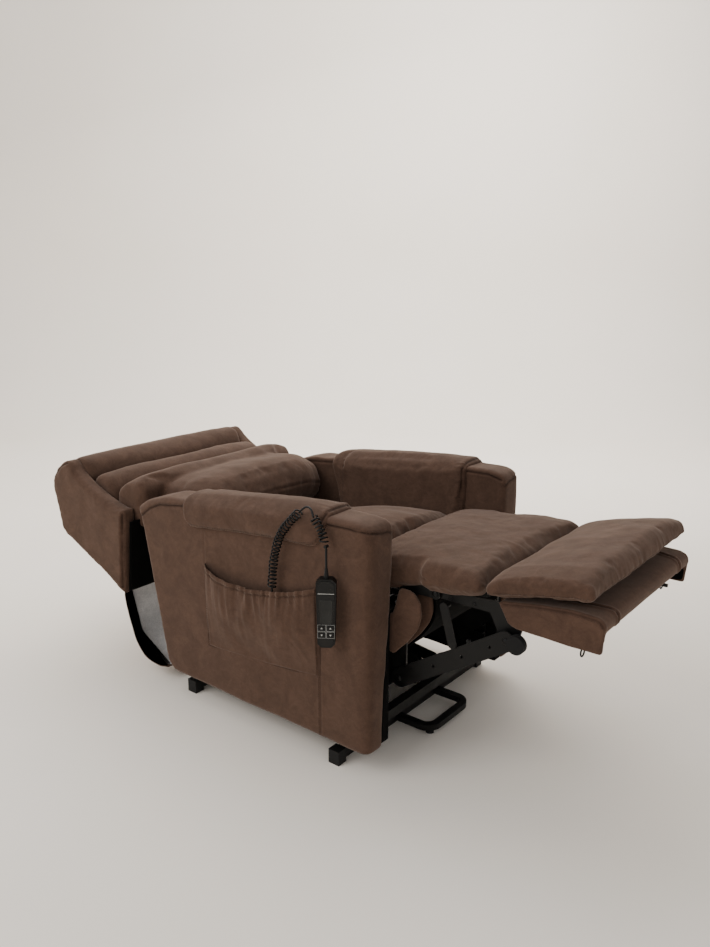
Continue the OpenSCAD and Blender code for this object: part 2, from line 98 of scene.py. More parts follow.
def resample(path, count, closed):
    """count points evenly spaced along a fine path."""
    if closed:
        path = np.vstack([path, path[:1]])
    steps = np.linalg.norm(np.diff(path, axis=0), axis=1)
    at = np.concatenate([[0], np.cumsum(steps)])
    want = np.linspace(0, at[-1], count + 1)[:-1] if closed else np.linspace(0, at[-1], count)
    return np.stack([np.interp(want, at, path[:, k]) for k in range(path.shape[1])], 1)


def smooth_curve(points, count, closed=False):
    """A Catmull-Rom curve through points."""
    p = np.array(points, float)
    ends = (p[-1:], p[:2]) if closed else (2 * p[:1] - p[1:2], 2 * p[-1:] - p[-2:-1])
    p = np.vstack([ends[0], p, ends[1]])
    t = np.linspace(0, 1, 20, endpoint=False)[:, None]
    path = []
    for a, b, c, d in zip(p, p[1:], p[2:], p[3:]):
        path.append(0.5 * (2 * b + (c - a) * t + (2 * a - 5 * b + 4 * c - d) * t ** 2
                           + (3 * b - a - 3 * c + d) * t ** 3))
    path = np.vstack(path)
    if not closed:
        path = np.vstack([path, p[-2:-1]])
    return resample(path, count, closed)


def rounded(points, radius, count):
    """A closed outline through points with its corners rounded. radius is one number or one a corner."""
    p = np.array(points, float)
    n = len(p)
    radii = np.broadcast_to(radius, n)
    t = np.linspace(0, 1, 9)[:, None]
    path = []
    for i in range(n):
        back, on = p[i - 1] - p[i], p[(i + 1) % n] - p[i]
        la, lb = np.linalg.norm(back), np.linalg.norm(on)
        a = p[i] + back / la * min(radii[i], la / 2)
        b = p[i] + on / lb * min(radii[i], lb / 2)
        path.append((1 - t) ** 2 * a + 2 * t * (1 - t) * p[i] + t ** 2 * b)
    return resample(np.vstack(path), count, True)


def inset(ring, distance):
    """Moves a closed [y, z] ring inwards by distance."""
    ahead, behind = np.roll(ring, -1, 0), np.roll(ring, 1, 0)
    along = ahead - behind
    along /= np.linalg.norm(along, axis=1)[:, None] + 1e-9
    normal = np.stack([-along[:, 1], along[:, 0]], 1)
    x, y = ring[:, 0], ring[:, 1]
    area = (x * np.roll(y, -1) - np.roll(x, -1) * y).sum()
    return ring + normal * distance * np.sign(area)


def directions(path):
    """Unit direction of travel at each point of a path."""
    along = np.gradient(path, axis=0)
    return along / np.linalg.norm(along, axis=1)[:, None]


def noise(points, seed=0):
    """Smooth value noise from -1 to 1 at each point of an (n, 3) array."""
    cell = np.floor(points).astype(np.int64)
    f = points - cell
    f = f * f * (3 - 2 * f)
    total = np.zeros(len(points))
    for dx in (0, 1):
        for dy in (0, 1):
            for dz in (0, 1):
                h = (cell[:, 0] + dx) * 374761393 + (cell[:, 1] + dy) * 668265263
                h = (h + (cell[:, 2] + dz) * 2147483647 + seed * 1274126177) & 0xFFFFFFFF
                h = ((h ^ (h >> 13)) * 1274126177) & 0xFFFFFFFF
                value = ((h ^ (h >> 16)) & 0xFFFF) / 32767.5 - 1
                wx = f[:, 0] if dx else 1 - f[:, 0]
                wy = f[:, 1] if dy else 1 - f[:, 1]
                wz = f[:, 2] if dz else 1 - f[:, 2]
                total += value * wx * wy * wz
    return total


def falloff(d, reach):
    """Bell curve of a distance, 1 at zero."""
    return np.exp(-(d / reach) ** 2)


# ---------------------------------------------------------------- meshes

def mesh_object(name, verts, faces, material, smooth=True):
    """A new object in the scene from places in millimetres."""
    mesh = bpy.data.meshes.new(name)
    mesh.from_pydata((np.asarray(verts, float) * MM).tolist(), [], faces)
    mesh.validate()
    if smooth:
        mesh.polygons.foreach_set("use_smooth", [True] * len(mesh.polygons))
    obj = bpy.data.objects.new(name, mesh)
    scene.collection.objects.link(obj)
    if material:
        mesh.materials.append(material)
    return obj


def ring_faces(rows, cols, first=0, closed=True):
    """Quads between neighbouring rings of cols points each."""
    last = cols if closed else cols - 1
    return [(first + r * cols + c, first + r * cols + (c + 1) % cols,
             first + (r + 1) * cols + (c + 1) % cols, first + (r + 1) * cols + c)
            for r in range(rows - 1) for c in range(last)]


def closed_loft(rings):
    """(vertices, faces) of a closed solid through rings, with a fan at each end."""
    rings = np.asarray(rings, float)
    rows, cols = rings.shape[:2]
    verts = rings.reshape(-1, 3).tolist()
    faces = ring_faces(rows, cols)
    for ring, start in ((rings[0], 0), (rings[-1], (rows - 1) * cols)):
        verts.append(ring.mean(0).tolist())
        hub = len(verts) - 1
        faces += [(hub, start + c, start + (c + 1) % cols) for c in range(cols)]
    return verts, faces


def joined(parts):
    """One (vertices, faces) from several."""
    verts, faces = [], []
    for v, f in parts:
        base = len(verts)
        verts += list(v)
        faces += [tuple(i + base for i in face) for face in f]
    return verts, faces


def fix_normals(obj):
    """Turns all faces outwards."""
    bm = bmesh.new()
    bm.from_mesh(obj.data)
    bmesh.ops.recalc_face_normals(bm, faces=bm.faces)
    bm.to_mesh(obj.data)
    bm.free()
    return obj


def apply_modifiers(obj):
    depsgraph = bpy.context.evaluated_depsgraph_get()
    mesh = bpy.data.meshes.new_from_object(obj.evaluated_get(depsgraph))
    obj.modifiers.clear()
    old = obj.data
    obj.data = mesh
    bpy.data.meshes.remove(old)
    mesh.polygons.foreach_set("use_smooth", [True] * len(mesh.polygons))
    return obj


def remesh(obj, voxel):
    m = obj.modifiers.new("Remesh", "REMESH")
    m.mode = "VOXEL"
    m.voxel_size = voxel * MM
    return apply_modifiers(obj)


def relax(obj, steps, factor=0.5):
    m = obj.modifiers.new("Smooth", "SMOOTH")
    m.factor = factor
    m.iterations = steps
    return apply_modifiers(obj)


def subdivide(obj, levels=1):
    m = obj.modifiers.new("Subsurf", "SUBSURF")
    m.levels = levels
    m.render_levels = levels
    return apply_modifiers(obj)


def places(obj):
    """(n, 3) array of vertex places in millimetres."""
    co = np.zeros(len(obj.data.vertices) * 3, np.float32)
    obj.data.vertices.foreach_get("co", co)
    return co.reshape(-1, 3).astype(float) / MM


def set_places(obj, co):
    obj.data.vertices.foreach_set("co", (co * MM).astype(np.float32).ravel())
    obj.data.update()


def normals(obj):
    n = np.zeros(len(obj.data.vertices) * 3, np.float32)
    obj.data.vertex_normals.foreach_get("vector", n)
    return n.reshape(-1, 3).astype(float)


CLOTH_FRAMES = 20


def puff(obj, pressure, cap, grow):
    """Cloth simulation of padded fabric: air pressure inside, no gravity, movement capped at cap mm.
    grow makes the fabric larger than its form, so it wrinkles."""
    rest = places(obj)
    m = obj.modifiers.new("Cloth", "CLOTH")
    s = m.settings
    s.quality = 4
    s.mass = 0.25
    s.tension_stiffness = s.compression_stiffness = 12
    s.shear_stiffness = 4
    s.bending_stiffness = 0.4
    s.use_pressure = True
    s.uniform_pressure_force = pressure
    s.shrink_min = -grow
    s.effector_weights.gravity = 0
    m.collision_settings.use_collision = False
    for f in range(1, CLOTH_FRAMES + 1):
        scene.frame_set(f)
    depsgraph = bpy.context.evaluated_depsgraph_get()
    mesh = obj.evaluated_get(depsgraph).to_mesh()
    co = np.zeros(len(mesh.vertices) * 3, np.float32)
    mesh.vertices.foreach_get("co", co)
    obj.evaluated_get(depsgraph).to_mesh_clear()
    obj.modifiers.clear()
    scene.frame_set(1)
    move = co.reshape(-1, 3).astype(float) / MM - rest
    size = np.linalg.norm(move, axis=1)[:, None] + 1e-9
    set_places(obj, rest + move * np.minimum(1, cap / size))
    return obj


def shape(obj, *effects):
    """Moves each vertex along its normal by the sum of effects, and stores how deep in a seam it lies.
    An effect takes the places and gives (movement, seam depth from 0 to 1)."""
    co, n = places(obj), normals(obj)
    results = [effect(co) for effect in effects]
    set_places(obj, co + n * sum(r[0] for r in results)[:, None])
    # the crease value is the mask of painted seam shade in the suede colour
    attribute = obj.data.attributes.get("crease") or obj.data.attributes.new("crease", "FLOAT", "POINT")
    crease = np.zeros(len(co), np.float32)
    attribute.data.foreach_get("value", crease)
    for r in results:
        crease = np.maximum(crease, r[1])
    attribute.data.foreach_set("value", crease.astype(np.float32))
    return obj


# ---------------------------------------------------------------- effects on padded fabric

def nearest_on(line, co, reach):
    """For each place: distance to a polyline and distance along it. Far places get reach * 9."""
    line = np.asarray(line, float)
    low, high = line.min(0) - reach, line.max(0) + reach
    close = np.nonzero(((co >= low) & (co <= high)).all(1))[0]
    best = np.full(len(co), reach * 9.0)
    along = np.zeros(len(co))
    p = co[close]
    start = 0.0
    for a, b in zip(line, line[1:]):
        d = b - a
        length = np.linalg.norm(d)
        t = np.clip((p - a) @ d / (length ** 2 + 1e-12), 0, 1)
        dist = np.linalg.norm(p - (a + t[:, None] * d), axis=1)
        nearer = dist < best[close]
        ids = close[nearer]
        best[ids] = dist[nearer]
        along[ids] = start + t[nearer] * length
        start += length
    return best, along


def seam(line, depth=2.5, width=4.0, swell=0.8, pucker=0.0, wave=20.0, reach=45.0, seed=1):
    """A sewn line: a groove with a slight swell beside it, and puckers that run away from it.
    depth, width, swell, pucker, wave (spacing of the puckers) and reach are millimetres."""
    def effect(co):
        d, s = nearest_on(line, co, reach * 1.6)
        out = -depth * falloff(d, width) + swell * falloff(d - width * 2.4, width * 1.4)
        if pucker:
            lean = d * 0.5 * noise(np.stack([s / 90, s * 0, s * 0], 1), seed + 3)
            fold = noise(np.stack([(s + lean) / (wave * 0.5), d / 90, s * 0 + seed], 1), seed)
            fold = fold + 0.5 * noise(np.stack([(s + lean) / (wave * 0.23), d / 60, s * 0], 1), seed + 1)
            gain = np.exp(-d / (reach * 0.45)) * (1 - falloff(d, 3.0))
            gain *= 0.55 + 0.45 * noise(np.stack([s / 40, s * 0, s * 0 + seed], 1), seed + 7)
            out = out + pucker * fold * gain
        # second value: how strongly the suede colour is darkened here as painted shade, deeper grooves
        # darker
        return out, falloff(d, 2.8) * min(1, max(depth, 0) / 2.4)
    return effect


def ripples(size, height, seed=3, stretch=(1, 1, 1)):
    """Broad, soft unevenness of stuffing under fabric."""
    def effect(co):
        p = co / (np.array(stretch) * size)
        return height * (noise(p, seed) + 0.4 * noise(p * 2.3, seed + 1)), np.zeros(len(co))
    return effect


# ---------------------------------------------------------------- material nodes

def new_material(name):
    mat = bpy.data.materials.new(name)
    mat.use_nodes = True
    tree = mat.node_tree
    return mat, tree, tree.nodes["Principled BSDF"]


def node(tree, kind, **values):
    """Adds a node. Names with a capital set inputs, the others set properties."""
    n = tree.nodes.new("ShaderNode" + kind)
    for key, value in values.items():
        if key[0].isupper():
            n.inputs[key.replace("_", " ")].default_value = value
        else:
            setattr(n, key, value)
    return n


def noise_node(tree, scale, detail=4.0, roughness=0.55, distortion=0.0, stretch=(1, 1, 1)):
    coords = node(tree, "TexCoord")
    mapping = node(tree, "Mapping")
    mapping.inputs["Scale"].default_value = stretch
    tree.links.new(coords.outputs["Object"], mapping.inputs["Vector"])
    n = node(tree, "TexNoise", Scale=scale, Detail=detail, Roughness=roughness, Distortion=distortion)
    tree.links.new(mapping.outputs["Vector"], n.inputs["Vector"])
    return n.outputs["Fac"]


def ramp(tree, source, low, high, low_at=0.35, high_at=0.65):
    r = node(tree, "ValToRGB")
    r.color_ramp.elements[0].position = low_at
    r.color_ramp.elements[0].color = (*low, 1)
    r.color_ramp.elements[1].position = high_at
    r.color_ramp.elements[1].color = (*high, 1)
    tree.links.new(source, r.inputs["Fac"])
    return r.outputs["Color"]


def mix(tree, a, b, fac, blend="MIX"):
    m = node(tree, "Mix", data_type="RGBA", blend_type=blend)
    for socket, value in ((m.inputs["Factor"], fac), (m.inputs["A"], a), (m.inputs["B"], b)):
        if isinstance(value, (int, float)):
            socket.default_value = value
        elif isinstance(value, tuple):
            m.inputs[6 if socket == m.inputs["A"] else 7].default_value = (*value, 1)
    if not isinstance(fac, (int, float)):
        tree.links.new(fac, m.inputs["Factor"])
    if not isinstance(a, tuple):
        tree.links.new(a, m.inputs[6])
    if not isinstance(b, tuple):
        tree.links.new(b, m.inputs[7])
    return m.outputs[2]


def bumps(tree, bsdf, layers):
    """Chains bump nodes: layers are (height socket, strength, distance in mm)."""
    last = None
    for height, strength, distance in layers:
        b = node(tree, "Bump", Strength=strength, Distance=distance * MM)
        tree.links.new(height, b.inputs["Height"])
        if last:
            tree.links.new(last, b.inputs["Normal"])
        last = b.outputs["Normal"]
    tree.links.new(last, bsdf.inputs["Normal"])


def scaled(colour, k):
    return tuple(c * k for c in colour)


def suede(name, colour, mottle=1.0):
    """Brushed microfibre suede: cloudy nap, brush strokes, fine fibres, soft sheen, painted shade in its
    seams.
    """
    mat, tree, bsdf = new_material(name)
    cloud = noise_node(tree, 15, 7, 0.66, 1.2)
    stroke = noise_node(tree, 46, 6, 0.70, 2.2, (1, 0.6, 0.8))
    speck = noise_node(tree, 420, 3, 0.7)
    fibre = noise_node(tree, 1500, 2, 0.6)
    dark, light = scaled(colour, 1 - 0.12 * mottle), scaled(colour, 1 + 0.10 * mottle)
    base = ramp(tree, cloud, dark, light, 0.38, 0.62)
    brushed = ramp(tree, stroke, (0.87, 0.85, 0.84), (1.12, 1.11, 1.10), 0.38, 0.62)
    fine = ramp(tree, speck, (0.86, 0.86, 0.86), (1.14, 1.14, 1.14), 0.3, 0.7)
    col = mix(tree, base, brushed, 0.7 * mottle, "MULTIPLY")
    col = mix(tree, col, fine, 0.9, "MULTIPLY")
    # painted shade: the colour is darkened along seams, more where the groove is deeper (the crease value)
    crease = node(tree, "Attribute", attribute_name="crease")
    shade = ramp(tree, crease.outputs["Fac"], (1, 1, 1), (0.25, 0.22, 0.20), 0.1, 0.95)
    col = mix(tree, col, shade, 1.0, "MULTIPLY")
    tree.links.new(col, bsdf.inputs["Base Color"])
    bsdf.inputs["Roughness"].default_value = 0.95
    bsdf.inputs["Specular IOR Level"].default_value = 0.12
    bsdf.inputs["Sheen Weight"].default_value = 0.24
    bsdf.inputs["Sheen Roughness"].default_value = 0.45
    bsdf.inputs["Sheen Tint"].default_value = (0.82, 0.66, 0.56, 1)
    bumps(tree, bsdf, [(stroke, 0.3, 1.2), (speck, 0.35, 0.35), (fibre, 0.3, 0.15)])
    return mat


def painted_steel():
    """Black powder-coated steel with a fine orange-peel texture and dusty, rubbed places."""
    mat, tree, bsdf = new_material("painted_steel")
    peel = noise_node(tree, 900, 2, 0.5)
    dust = noise_node(tree, 22, 6, 0.65)
    tree.links.new(ramp(tree, dust, (0.0025, 0.0025, 0.0025), (0.007, 0.0068, 0.0065), 0.4, 0.75),
                   bsdf.inputs["Base Color"])
    tree.links.new(ramp(tree, dust, (0.32, 0.32, 0.32), (0.6, 0.6, 0.6)), bsdf.inputs["Roughness"])
    bsdf.inputs["Specular IOR Level"].default_value = 0.2
    bumps(tree, bsdf, [(peel, 0.25, 0.2)])
    return mat


def moulded(name, colour, roughness=0.5, grain=700):
    """Moulded plastic or rubber with a fine texture."""
    mat, tree, bsdf = new_material(name)
    fine = noise_node(tree, grain, 3, 0.6)
    patch = noise_node(tree, 30, 4, 0.6)
    tree.links.new(ramp(tree, patch, scaled(colour, 0.8), scaled(colour, 1.25)), bsdf.inputs["Base Color"])
    bsdf.inputs["Specular IOR Level"].default_value = 0.22
    low, high = roughness - 0.08, roughness + 0.1
    tree.links.new(ramp(tree, patch, (low,) * 3, (high,) * 3), bsdf.inputs["Roughness"])
    bumps(tree, bsdf, [(fine, 0.3, 0.15)])
    return mat


def bright_metal(name, colour, roughness):
    """Zinc plate or a ground rod: metal with fine streaks."""
    mat, tree, bsdf = new_material(name)
    streak = noise_node(tree, 160, 4, 0.6, 0.3, (0.15, 1, 1))
    tree.links.new(ramp(tree, streak, scaled(colour, 0.8), colour), bsdf.inputs["Base Color"])
    tree.links.new(ramp(tree, streak, (roughness,) * 3, (roughness + 0.15,) * 3), bsdf.inputs["Roughness"])
    bsdf.inputs["Metallic"].default_value = 1
    bumps(tree, bsdf, [(streak, 0.08, 0.1)])
    return mat


def woven(name, colour, thread=620):
    """Plain woven lining cloth."""
    mat, tree, bsdf = new_material(name)
    warp = noise_node(tree, thread, 1, 0.5, 0, (1, 0.12, 0.12))
    weft = noise_node(tree, thread, 1, 0.5, 0, (0.12, 1, 1))
    cloud = noise_node(tree, 14, 4, 0.6)
    base = ramp(tree, cloud, scaled(colour, 0.82), scaled(colour, 1.12))
    thread_tone = ramp(tree, mix(tree, warp, weft, 0.5), (0.8, 0.8, 0.8), (1.15, 1.15, 1.15))
    tree.links.new(mix(tree, base, thread_tone, 0.7, "MULTIPLY"), bsdf.inputs["Base Color"])
    bsdf.inputs["Roughness"].default_value = 0.95
    bsdf.inputs["Specular IOR Level"].default_value = 0.1
    bumps(tree, bsdf, [(warp, 0.3, 0.25), (weft, 0.3, 0.25)])
    return mat


def timber():
    """Planed softwood: long grain lines."""
    mat, tree, bsdf = new_material("timber")
    grain = noise_node(tree, 40, 6, 0.7, 0.8, (0.1, 1, 3))
    tree.links.new(ramp(tree, grain, (0.36, 0.22, 0.11), (0.62, 0.43, 0.25)), bsdf.inputs["Base Color"])
    bsdf.inputs["Roughness"].default_value = 0.62
    bumps(tree, bsdf, [(grain, 0.2, 0.3)])
    return mat


SUEDE_COLOUR = (0.070, 0.040, 0.028)
SUEDE = suede("suede_brown", SUEDE_COLOUR)
SUEDE_PAD = suede("suede_padded", scaled(SUEDE_COLOUR, 0.98), 1.1)
THREAD = suede("thread_brown", scaled(SUEDE_COLOUR, 0.55), 0.4)
# black lining cloth; the same material also makes the painted shade sheet over the front rail
BLACK_LINING_AND_SHADE = woven("lining_and_shade_black", (0.0022, 0.0021, 0.002))
BACKING = woven("backing_grey", (0.86, 0.84, 0.82))
STEEL = painted_steel()
PLASTIC = moulded("plastic_black", (0.006, 0.006, 0.006), 0.55)
RUBBER = moulded("rubber_black", (0.006, 0.006, 0.006), 0.75, 400)
MOTOR = moulded("motor_grey", (0.03, 0.03, 0.033), 0.45)
CORD = moulded("cord_black", (0.004, 0.004, 0.004), 0.45, 300)
HAND = moulded("handset_charcoal", (0.0045, 0.0044, 0.0042), 0.42)
HAND_FACE = moulded("handset_panel", (0.0065, 0.0064, 0.006), 0.34)
HAND_WINDOW = moulded("handset_window", (0.016, 0.016, 0.0145), 0.4)
HAND_KEY = moulded("handset_key", (0.005, 0.005, 0.005), 0.4)
PRINT = moulded("print_white", (0.42, 0.42, 0.40), 0.5)
ZINC = bright_metal("zinc_plate", (0.56, 0.57, 0.58), 0.35)
ROD = bright_metal("ground_rod", (0.72, 0.73, 0.74), 0.15)
WOOD = timber()


# ---------------------------------------------------------------- building soft pieces

def solid(name, parts, voxel, material):
    """A closed soft form: lofts joined and remeshed evenly."""
    verts, faces = joined(parts)
    obj = fix_normals(mesh_object(name, verts, faces, material))
    remesh(obj, voxel)
    return obj


def keep(obj, body, slot, *nodes):
    """Hands a finished piece to the frame."""
    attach(obj, body)
    if nodes:
        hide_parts(*nodes)
    return obj


def stack_x(stations):
    """Rings of a loft across X: stations are (x, (n, 2) ring of [y, z])."""
    return [np.column_stack([np.full(len(ring), x), ring]) for x, ring in stations]


def edge_rounding(half, radius, steps=6):
    """(position across, inset) pairs that round both edges of a slab of half-width half."""
    angles = np.linspace(0, math.pi / 2, steps)
    left = [(-half + radius * (1 - math.cos(a)), radius * (1 - math.sin(a))) for a in angles]
    return left + [(-x, d) for x, d in reversed(left)]


PILLOW_ROWS = 9


def pillow(edge, mid, half, radius, power):
    """Loft across X between the end outline edge and the fuller outline mid, with rounded ends.
    A higher power keeps the full outline further towards the ends."""
    stations = []
    body = np.linspace(-half + radius, half - radius, PILLOW_ROWS)
    across = edge_rounding(half, radius)
    rows = across[:6] + [(x, 0.0) for x in body[1:-1]] + across[6:]
    for x, d in rows:
        w = 1 - abs(x / half) ** power
        ring = edge + (mid - edge) * w
        stations.append((x, inset(ring, d)))
    return closed_loft(stack_x(stations))


def on_surface(obj, line, lift=0.0):
    """Drops a polyline onto a piece's surface."""
    mesh = obj.data
    tree = BVHTree.FromPolygons([v.co for v in mesh.vertices], [p.vertices for p in mesh.polygons])
    out = []
    for p in np.asarray(line, float):
        place, normal, _, _ = tree.find_nearest(Vector(p * MM))
        out.append(np.array(place + normal * lift * MM) / MM)
    return np.array(out)


def tube_mesh(path, radius, sides):
    """(vertices, faces) of a tube along a path; radius is one number or one a point."""
    path = np.asarray(path, float)
    n = len(path)
    radii = np.broadcast_to(radius, n)
    along = np.gradient(path, axis=0)
    along /= np.linalg.norm(along, axis=1)[:, None] + 1e-12
    up = np.array([0.0, 0.0, 1.0]) if abs(along[0][2]) < 0.9 else np.array([1.0, 0.0, 0.0])
    rings = []
    for p, t, r in zip(path, along, radii):
        up = up - t * (up @ t)
        up /= np.linalg.norm(up) + 1e-12
        side = np.cross(t, up)
        turn = np.linspace(0, 2 * math.pi, sides, endpoint=False)[:, None]
        rings.append(p + r * (np.cos(turn) * up + np.sin(turn) * side))
    return closed_loft(rings)


def stitches(obj, line, pitch=6.0, length=3.8, radius=0.55, lift=0.35):
    """(vertices, faces) of separate stitches lying on a piece along a line."""
    fine = on_surface(obj, resample(np.asarray(line, float), 160, False), lift)
    total = np.linalg.norm(np.diff(fine, axis=0), axis=1).sum()
    marks = resample(fine, max(3, int(total / pitch)), False)
    parts = []
    for a, b in zip(marks, marks[1:]):
        d = (b - a) / (np.linalg.norm(b - a) + 1e-9) * length
        parts.append(tube_mesh([a, a + d * 0.15, a + d * 0.85, a + d], [0.15, radius, radius, 0.15], 6))
    return parts


def thread_piece(name, parts, body):
    """All the stitches of one cover as one piece."""
    verts, faces = joined(parts)
    return keep(mesh_object(name, verts, faces, THREAD), body, "suede")


def flip(points, side):
    """Points for the left half of the chair, mirrored to the right half when side is -1."""
    return np.asarray(points, float) * np.array([side, 1, 1])


def step(x, low, high):
    """Smooth step from 0 at low to 1 at high."""
    t = np.clip((x - low) / (high - low), 0, 1)
    return t * t * (3 - 2 * t)


def line_at(x, points):
    """[y, z] points as a 3-D line at width place x."""
    return [[x, y, z] for y, z in points]


# ---------------------------------------------------------------- arms

ARM_TOP = [[408, 520], [425, 516], [357, 551], [280, 574], [231, 576], [132, 589], [3, 606],
           [-171, 623], [-264, 628], [-361, 630], [-411, 622]]
ARM_OUTLINE = ARM_TOP[2:] + [[ARM_FRONT, 67], [-405, ARM_FLOOR], [273, ARM_FLOOR], [304, 85], [386, 500],
                             [402, 522]]
OUTER_SEAM = [[384, 482], [381, 499], [340, 530], [299, 548], [204, 562], [20, 588], [-171, 606],
              [-264, 611], [-350, 614], [-380, 613]]


def arm_body(side, name):
    """Upholstered arm: a slab with a rounded outline, a soft front corner and a sloping inner side."""
    corners = [10] * 8 + [26, 8, 6, 8, 8, 10, 12]
    ring = rounded(ARM_OUTLINE, corners, 240)
    width = HALF_W - ARM_IN
    turn = np.linspace(0, math.pi / 2, 6)
    rows = [(ARM_IN + 6 * (1 - math.cos(a)), 6 * (1 - math.sin(a))) for a in turn]
    rows += [(ARM_IN + k * width, 0.0) for k in (0.2, 0.35, 0.5, 0.65, 0.78)]
    rows += [(HALF_W - 13 * (1 - math.cos(a)), 13 * (1 - math.sin(a))) for a in turn[::-1]]
    verts, faces = closed_loft(stack_x([(x, inset(ring, d)) for x, d in rows]))
    v = np.array(verts)
    # soft front corner on the outside, and an inner side that slopes outwards towards the floor
    u = np.clip((v[:, 0] - (HALF_W - 36)) / 36, 0, 1)
    v[:, 1] += 26 * (1 - np.sqrt(1 - u * u)) * step(-v[:, 1], 340, 405)
    keep_width = 0.65 + 0.35 * step(v[:, 2], 63, 600)
    v[:, 0] = HALF_W - (HALF_W - v[:, 0]) * keep_width
    obj = solid(name, [(flip(v, side), faces)], 7, SUEDE)
    relax(obj, 3)
    subdivide(obj)
    out = HALF_W
    outer = flip(line_at(out, OUTER_SEAM) + [[out - 14, -403, 610], [out - 40, -410, 605],
                                           [out - 75, -411, 600], [out - 94, -411, 590]], side)
    inner = flip(line_at(ARM_IN, [[381, 512], [299, 556], [204, 566], [20, 592], [-171, 610], [-264, 616],
                                  [-360, 618], [-400, 608]]), side)
    front = flip(line_at(out, [[-267, 440], [-267, 400], [-268, 230], [-268, 66]]), side)
    rear = flip(line_at(out, [[127, 508], [127, 423]]), side)
    shape(obj,
          seam(outer, 2.4, 2.8, 0.7, 1.3, 30, 40, seed=3),
          seam(inner, 2.4, 3.0, 0.7, 0.8, 26, 34, seed=4),
          seam(front, 1.3, 2.4, 0.6, 0.7, 34, 30, seed=5),
          seam(rear, 0.7, 2.4, 0.4, 0.3, 30, 20, seed=6),
          ripples(130, 1.6, 11, (1, 1, 1.6)),
          ripples(46, 0.5, 12))
    keep(obj, "chassis", "suede", name.replace("cover", "shell"))
    threads = stitches(obj, outer + np.array([0, 0, 5.0]), 6.2)
    threads += stitches(obj, front + np.array([0, 5, 0]), 6.2)
    thread_piece(name.replace("cover", "stitching"), threads, "chassis")
    return obj


def arm_lining(side, name):
    """Black lining that fills the inner side of an arm where the brown cover slopes away."""
    y0, y1 = ARM_FRONT + 6, 262
    corners = [(ARM_IN, 70), (ARM_IN, 440), (ARM_IN + 12, 440), (ARM_IN + 33, 70)]
    rings = []
    for y in np.linspace(y0, y1, 24):
        sag = 1.6 * math.sin(y / 37) + 1.2 * math.sin(y / 17)
        top = 440 - 0.03 * (y - y0)
        rings.append([[x + (sag if x == ARM_IN else 0), y, min(z, top)] for x, z in corners])
    verts, faces = closed_loft(rings)
    obj = mesh_object(name, flip(verts, side), faces, BLACK_LINING_AND_SHADE, False)
    fix_normals(obj)
    bevel = obj.modifiers.new("Bevel", "BEVEL")
    bevel.width = 0.004
    bevel.segments = 3
    return keep(obj, "chassis", "lining", name.replace("_fabric", ""))


# Lower edge of the pad's outer flap
FLAP_LOW = [[193, 574], [190, 545], [183, 524], [167, 513], [40, 523], [-85, 535], [-226, 547], [-248, 550],
            [-264, 558], [-276, 573], [-283, 598]]


def interp(y, points):
    """Height of a line of [y, z] points at y."""
    p = np.array(points, float)
    order = np.argsort(p[:, 0])
    return float(np.interp(y, p[order, 0], p[order, 1]))


def arm_pad(side, name):
    """Saddle pad: an outer flap, the top, and a long inner panel down to the seat."""
    rings = []
    ends = (-288, 196)
    for y in np.concatenate([np.linspace(ends[0], -262, 8), np.linspace(-240, 160, 24),
                             np.linspace(172, ends[1], 8)]):
        u = min(abs(y - ends[0]), abs(y - ends[1])) / 16
        thick = 3.5 + 9.5 * math.sqrt(1 - (1 - min(u, 1)) ** 2)
        crest = interp(y, ARM_TOP)
        low = interp(y, FLAP_LOW)
        deep = 430 - 0.05 * (y + 285) if y < 150 else 430 + (y - 150) * 3.0
        deep = min(deep, crest - 20)
        centre = np.array(smooth_curve([
            [HALF_W - 2, low], [HALF_W - 1.5, (low + crest) / 2], [HALF_W - 2, crest - 16],
            [HALF_W - 16, crest - 3], [(HALF_W + ARM_IN) / 2, crest], [ARM_IN + 16, crest - 3],
            [ARM_IN + 2, crest - 16], [ARM_IN + 1, (deep + crest) / 2], [ARM_IN + 1, deep]], 60))
        along = directions(centre)
        out = np.stack([along[:, 1], -along[:, 0]], 1)
        taper = np.sqrt(np.clip(1 - np.abs(np.linspace(-1, 1, 60)) ** 16, 0, 1)) * 0.8 + 0.2
        ring = np.vstack([centre + out * (thick * taper)[:, None], (centre - out * 3)[::-1]])
        rings.append(np.column_stack([ring[:, 0], np.full(len(ring), y), ring[:, 1]]))
    verts, faces = closed_loft(rings)
    obj = solid(name, [(flip(verts, side), faces)], 6, SUEDE_PAD)
    relax(obj, 2)
    puff(obj, 2.0, 5, 0.01)
    subdivide(obj)
    x_out = HALF_W + 11
    x_in = ARM_IN - 11
    low = flip([[x_out, y, z + 3] for y, z in FLAP_LOW], side)
    front_in = flip([[x_in, -281, z] for z in (440, 500, 560, 600, 622)]
                    + [[ARM_IN + 14, -283, 638], [HALF_W - 14, -283, 639], [x_out, -279, 615]], side)
    rear_in = flip([[x_in, 146, z] for z in (440, 480, 530, 570)], side)
    centre_line = flip([[x_out - 2, 180, 560], [x_out - 2, 0, 590], [x_out - 2, -270, 612]], side)
    shape(obj,
          seam(low, 2.0, 4.0, 0.8, 1.1, 17, 46, seed=21),
          seam(front_in, 2.4, 4.5, 0.8, 2.2, 15, 60, seed=22),
          seam(rear_in, 2.4, 4.0, 0.8, 1.6, 15, 50, seed=23),
          seam(centre_line, -0.8, 16, 0, 0.5, 36, 50, seed=24),
          ripples(95, 1.8, 25, (0.9, 1.3, 0.9)),
          ripples(38, 0.7, 26))
    keep(obj, "chassis", "suede_pad", name.replace("_cover", ""))
    threads = stitches(obj, low + np.array([0, 0, 4.5]), 6) + stitches(obj, low + np.array([0, 0, 10.0]), 6)
    threads += stitches(obj, front_in + np.array([0, 5, 0]), 6)
    threads += stitches(obj, rear_in - np.array([0, 5, 0]), 6)
    thread_piece(name.replace("cover", "stitching"), threads, "chassis")
    return obj


